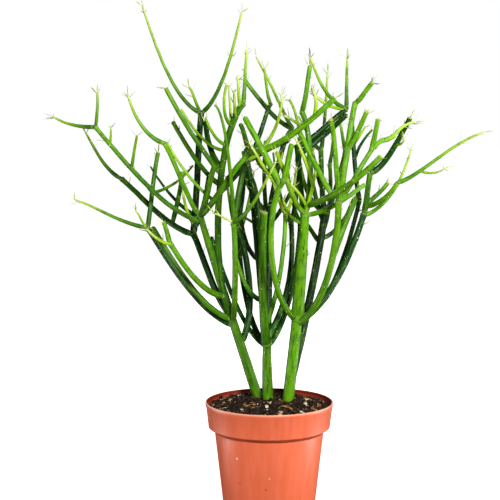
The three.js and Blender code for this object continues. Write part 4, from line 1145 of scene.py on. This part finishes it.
# %% Leaves at the tips and joints
LEAVES = [
    ("stem_left", "fork_left", 120, 70),
    ("stem_left", "fork_left", 200, 35),
    ("stem_left", "fork_right", 80, 75),
    ("stem_left", "fork_right", 10, 30),
    ("stem_left", "tall_cane_tip", 100, 80),
    ("stem_left", "fork_stub", 110, 65),
    ("stem_left", "tall_cane_left", 185, 5),
    ("stem_left", "side_arm_tip", 110, 75),
    ("stem_left", "long_arm_end", 170, 20),
    ("stem_left", "long_arm_up", 95, 80),
    ("stem_left", "long_arm_up", 170, 45),
    ("stem_left", "drooping_tip", 100, 60),
    ("stem_left", "outer_arm_tip", 150, 60),
    ("stem_left", "upright_shoot", 80, 65),
    ("stem_left", "low_arm_spur", 100, 75),
    ("stem_left", "front_sweep", 20, 30),
    ("stem_left", "front_arm_right", 60, 70),
    ("stem_middle", "lime_shoot", 50, 70),
    ("stem_middle", "top_shoot_tip", 150, 60),
    ("stem_right", "top_cane_tip", 110, 70),
    ("stem_right", "arching_tip", 120, 80),
    ("stem_right", "upright_tip", 80, 75),
    ("stem_right", "upright_tip", 190, 20),
    ("stem_right", "right_arm_end", 40, 50),
    ("stem_right", "dark_diagonal", 30, 55),
    ("stem_right", "elbow_tip", 10, 5),
    ("stem_right", "reaching_tip", 15, 10),
    ("stem_right", "rising_whip", 60, 55),
    ("stem_right", "short_whip", 70, 65),
    ("stem_right", "reaching_spur", 0, 15),
    ("stem_rear_right", "top_cane_tip", 90, 75),
    ("stem_rear_middle", "high_tip", 120, 70),
]
LEAF_LENGTH = 9.0
LEAF_WIDTH = 1.5
SMALL_LEAF_LENGTHS = (3.5, 10.0)
SMALL_LEAF_WIDTHS = (0.35, 1.0)


def leaf_shape():
    """A strap leaf of unit length that bends over a little, pointed at its end."""
    outline = [(0.0, 0.35), (0.15, 0.75), (0.4, 1.0), (0.65, 0.85), (0.85, 0.5), (1.0, 0.08)]
    rings = []
    for t, width in outline:
        lean = 0.16 * t * t
        half, thick = width / 2, 0.22 * width
        edge = lean + 0.03
        rings.append([(-half, edge, t), (0, lean - thick / 2, t), (half, edge, t), (0, lean + thick / 2, t)])
    return sheathed("leaf_shape", rings)


def point_cloud(name, rows):
    """A mesh of points, each with the way it faces and its size."""
    mesh = bpy.data.meshes.new(name)
    mesh.from_pydata([place * MM for place, facing_way, size in rows], [], [])
    ways = [c for place, facing_way, size in rows for c in facing_way]
    sizes_flat = [c * MM for place, facing_way, size in rows for c in size]
    mesh.attributes.new("facing", "FLOAT_VECTOR", "POINT").data.foreach_set("vector", ways)
    mesh.attributes.new("size", "FLOAT_VECTOR", "POINT").data.foreach_set("vector", sizes_flat)
    return mesh


def sideways(chance, direction):
    """A random direction square to the given one."""
    loose_way = Vector([chance.uniform(-1, 1) for _ in range(3)])
    return (loose_way - direction * loose_way.dot(direction)).normalized()


leaf_rows = []
for cutting, limb_name, bearing, rise in LEAVES:
    limb = plants[cutting][limb_name]
    flat_turn, up_turn = math.radians(bearing), math.radians(rise)
    way = Vector((math.cos(flat_turn) * math.cos(up_turn), 0.15, math.sin(up_turn) + 0.001)).normalized()
    leaf_rows.append((along(limb, 1), way, (LEAF_WIDTH, LEAF_WIDTH, LEAF_LENGTH)))
chance = random.Random(8)
for cutting, limbs in plants.items():
    for name, limb in limbs.items():
        is_thin = limb["kind"] in ("whip", "twig", "spur", "shoot")
        if limb["forks"]:
            count, spots = chance.choice((2, 3, 4)), [0.985, 0.9, 0.75]
        elif is_thin:
            count, spots = chance.choice((4, 5, 6)), [0.99, 0.98, 0.95, 0.88, 0.75, 0.6]
        else:
            count, spots = chance.choice((2, 3, 4)), [0.98, 0.95, 0.85]
        if is_listed(LIME_AND_PAINTED_SUN_LIMBS, cutting, name):
            count += 4
        for _ in range(count):
            t = chance.choice(spots)
            ahead = heading(limb, t)
            side = sideways(chance, ahead)
            way = (ahead * chance.uniform(0.4, 1.3) + side + Vector((0, 0, 0.2))).normalized()
            root = along(limb, t) + side * limb["radii"][1] * (0.55 if t > 0.98 else 0.85)
            size = chance.uniform(*SMALL_LEAF_LENGTHS)
            wide = chance.uniform(*SMALL_LEAF_WIDTHS)
            leaf_rows.append((root, way, (wide, wide, size)))
one_leaf = leaf_shape()
leaf_points = point_cloud("leaf_points", leaf_rows)
leaves = grown("tip_leaves", leaf_points, set_tree, Piece=one_leaf, Material=leaf_tissue)
bpy.data.objects.remove(one_leaf)
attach(leaves, "root")
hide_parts(*leaf_nodes)
print(len(leaf_rows), "leaves")

# %% Leaf scars along the older limbs
SCAR_HEIGHT = 0.35
scar_rows = []
chance = random.Random(15)
for cutting, limbs in plants.items():
    for name, limb in limbs.items():
        if limb["kind"] in ("whip", "twig", "spur"):
            continue
        s = 27.0 if not limb["parent"] else 9.0
        while s < limb["length"] - 4:
            t = s / limb["length"]
            side = sideways(chance, heading(limb, t))
            size = chance.uniform(0.7, 1.5)
            place = along(limb, t) + side * plain_radius(limb, t) * 0.97
            scar_rows.append((place, side, (size, size, SCAR_HEIGHT)))
            s += chance.uniform(5, 14)
shape = bmesh.new()
bmesh.ops.create_icosphere(shape, subdivisions=1, radius=0.5)
one_scar = new_object("scar_shape", mesh_from(shape, "scar_shape"), None)
scar_points = point_cloud("scar_points", scar_rows)
scars = grown("leaf_scars", scar_points, set_tree, Piece=one_scar, Material=scar_tissue)
bpy.data.objects.remove(one_scar)
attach(scars, "root")
print(len(scar_rows), "scars")

# %% [markdown]
# ## Floor and light
# The plant stands on a plain white floor that runs out to a white room. A key light in front, a little
# to the right and above, gives the stems their shape. Weak lights at the left, the right and the back
# fill the shadows, and two small ones low at the sides brighten the edges of the pot.

# %% Floor
floor_paint, tree, shader = new_material("white_studio_floor", Base_Color=linear("#FFFFFF"), Roughness=0.9)
shader.inputs["Emission Color"].default_value = (1, 1, 1, 1)
shader.inputs["Emission Strength"].default_value = 1.0
FLOOR_REACH = 12
floor_mesh = bpy.data.meshes.new("floor")
floor_corners = [(x * FLOOR_REACH, y * FLOOR_REACH, 0) for x, y in ((-1, -1), (1, -1), (1, 1), (-1, 1))]
floor_mesh.from_pydata(floor_corners, [], [(0, 1, 2, 3)])
floor = new_object("floor", floor_mesh, floor_paint)
floor.visible_diffuse = False
floor.visible_glossy = False

print(floor.name, "is", 2 * FLOOR_REACH, "m across")

# %% Room light and lamps
AMBIENT = 0.05
SHEEN = 0.06
world = bpy.data.worlds.new("white_room")
bpy.context.scene.world = world
world.use_nodes = True
path = add_node(world.node_tree, "ShaderNodeLightPath")
open_view = band(world.node_tree, path.outputs["Is Camera Ray"], 0, 1)
sheen = band(world.node_tree, path.outputs["Is Glossy Ray"], 0, 1, AMBIENT, SHEEN)
strength = reckoned(world.node_tree, "MAXIMUM", open_view, sheen)
background = world.node_tree.nodes["Background"]
background.inputs["Color"].default_value = (1, 1, 1, 1)
world.node_tree.links.new(strength, background.inputs["Strength"])


def area_light(name, place, target, size, power):
    """A square soft light aimed at a point."""
    data = bpy.data.lights.new(name, "AREA")
    data.size = size
    data.energy = power
    light = bpy.data.objects.new(name, data)
    light.location = place
    light.rotation_euler = (Vector(target) - Vector(place)).to_track_quat("-Z", "Y").to_euler()
    bpy.context.scene.collection.objects.link(light)


# Each lamp's name, place, aim and side in metres, and its power in watts.
LAMPS = [
    ("key_light", (0.35, -1.25, 0.68), (0, 0, 0.25), 0.3, 26),
    ("left_fill", (-1.0, -1.0, 0.5), (0, 0, 0.25), 0.6, 0.8),
    ("right_window", (1.1, -0.1, 0.5), (0, 0, 0.2), 0.5, 3),
    ("back_fill", (-0.2, 1.4, 0.75), (0, 0, 0.25), 0.6, 8),
    ("low_left", (-0.32, 0.0, 0.04), (0, 0, 0.04), 0.12, 0.6),
    ("low_right", (0.32, 0.0, 0.04), (0, 0, 0.04), 0.12, 0.6),
]
for lamp in LAMPS:
    area_light(*lamp)
print(len(LAMPS), "lamps")
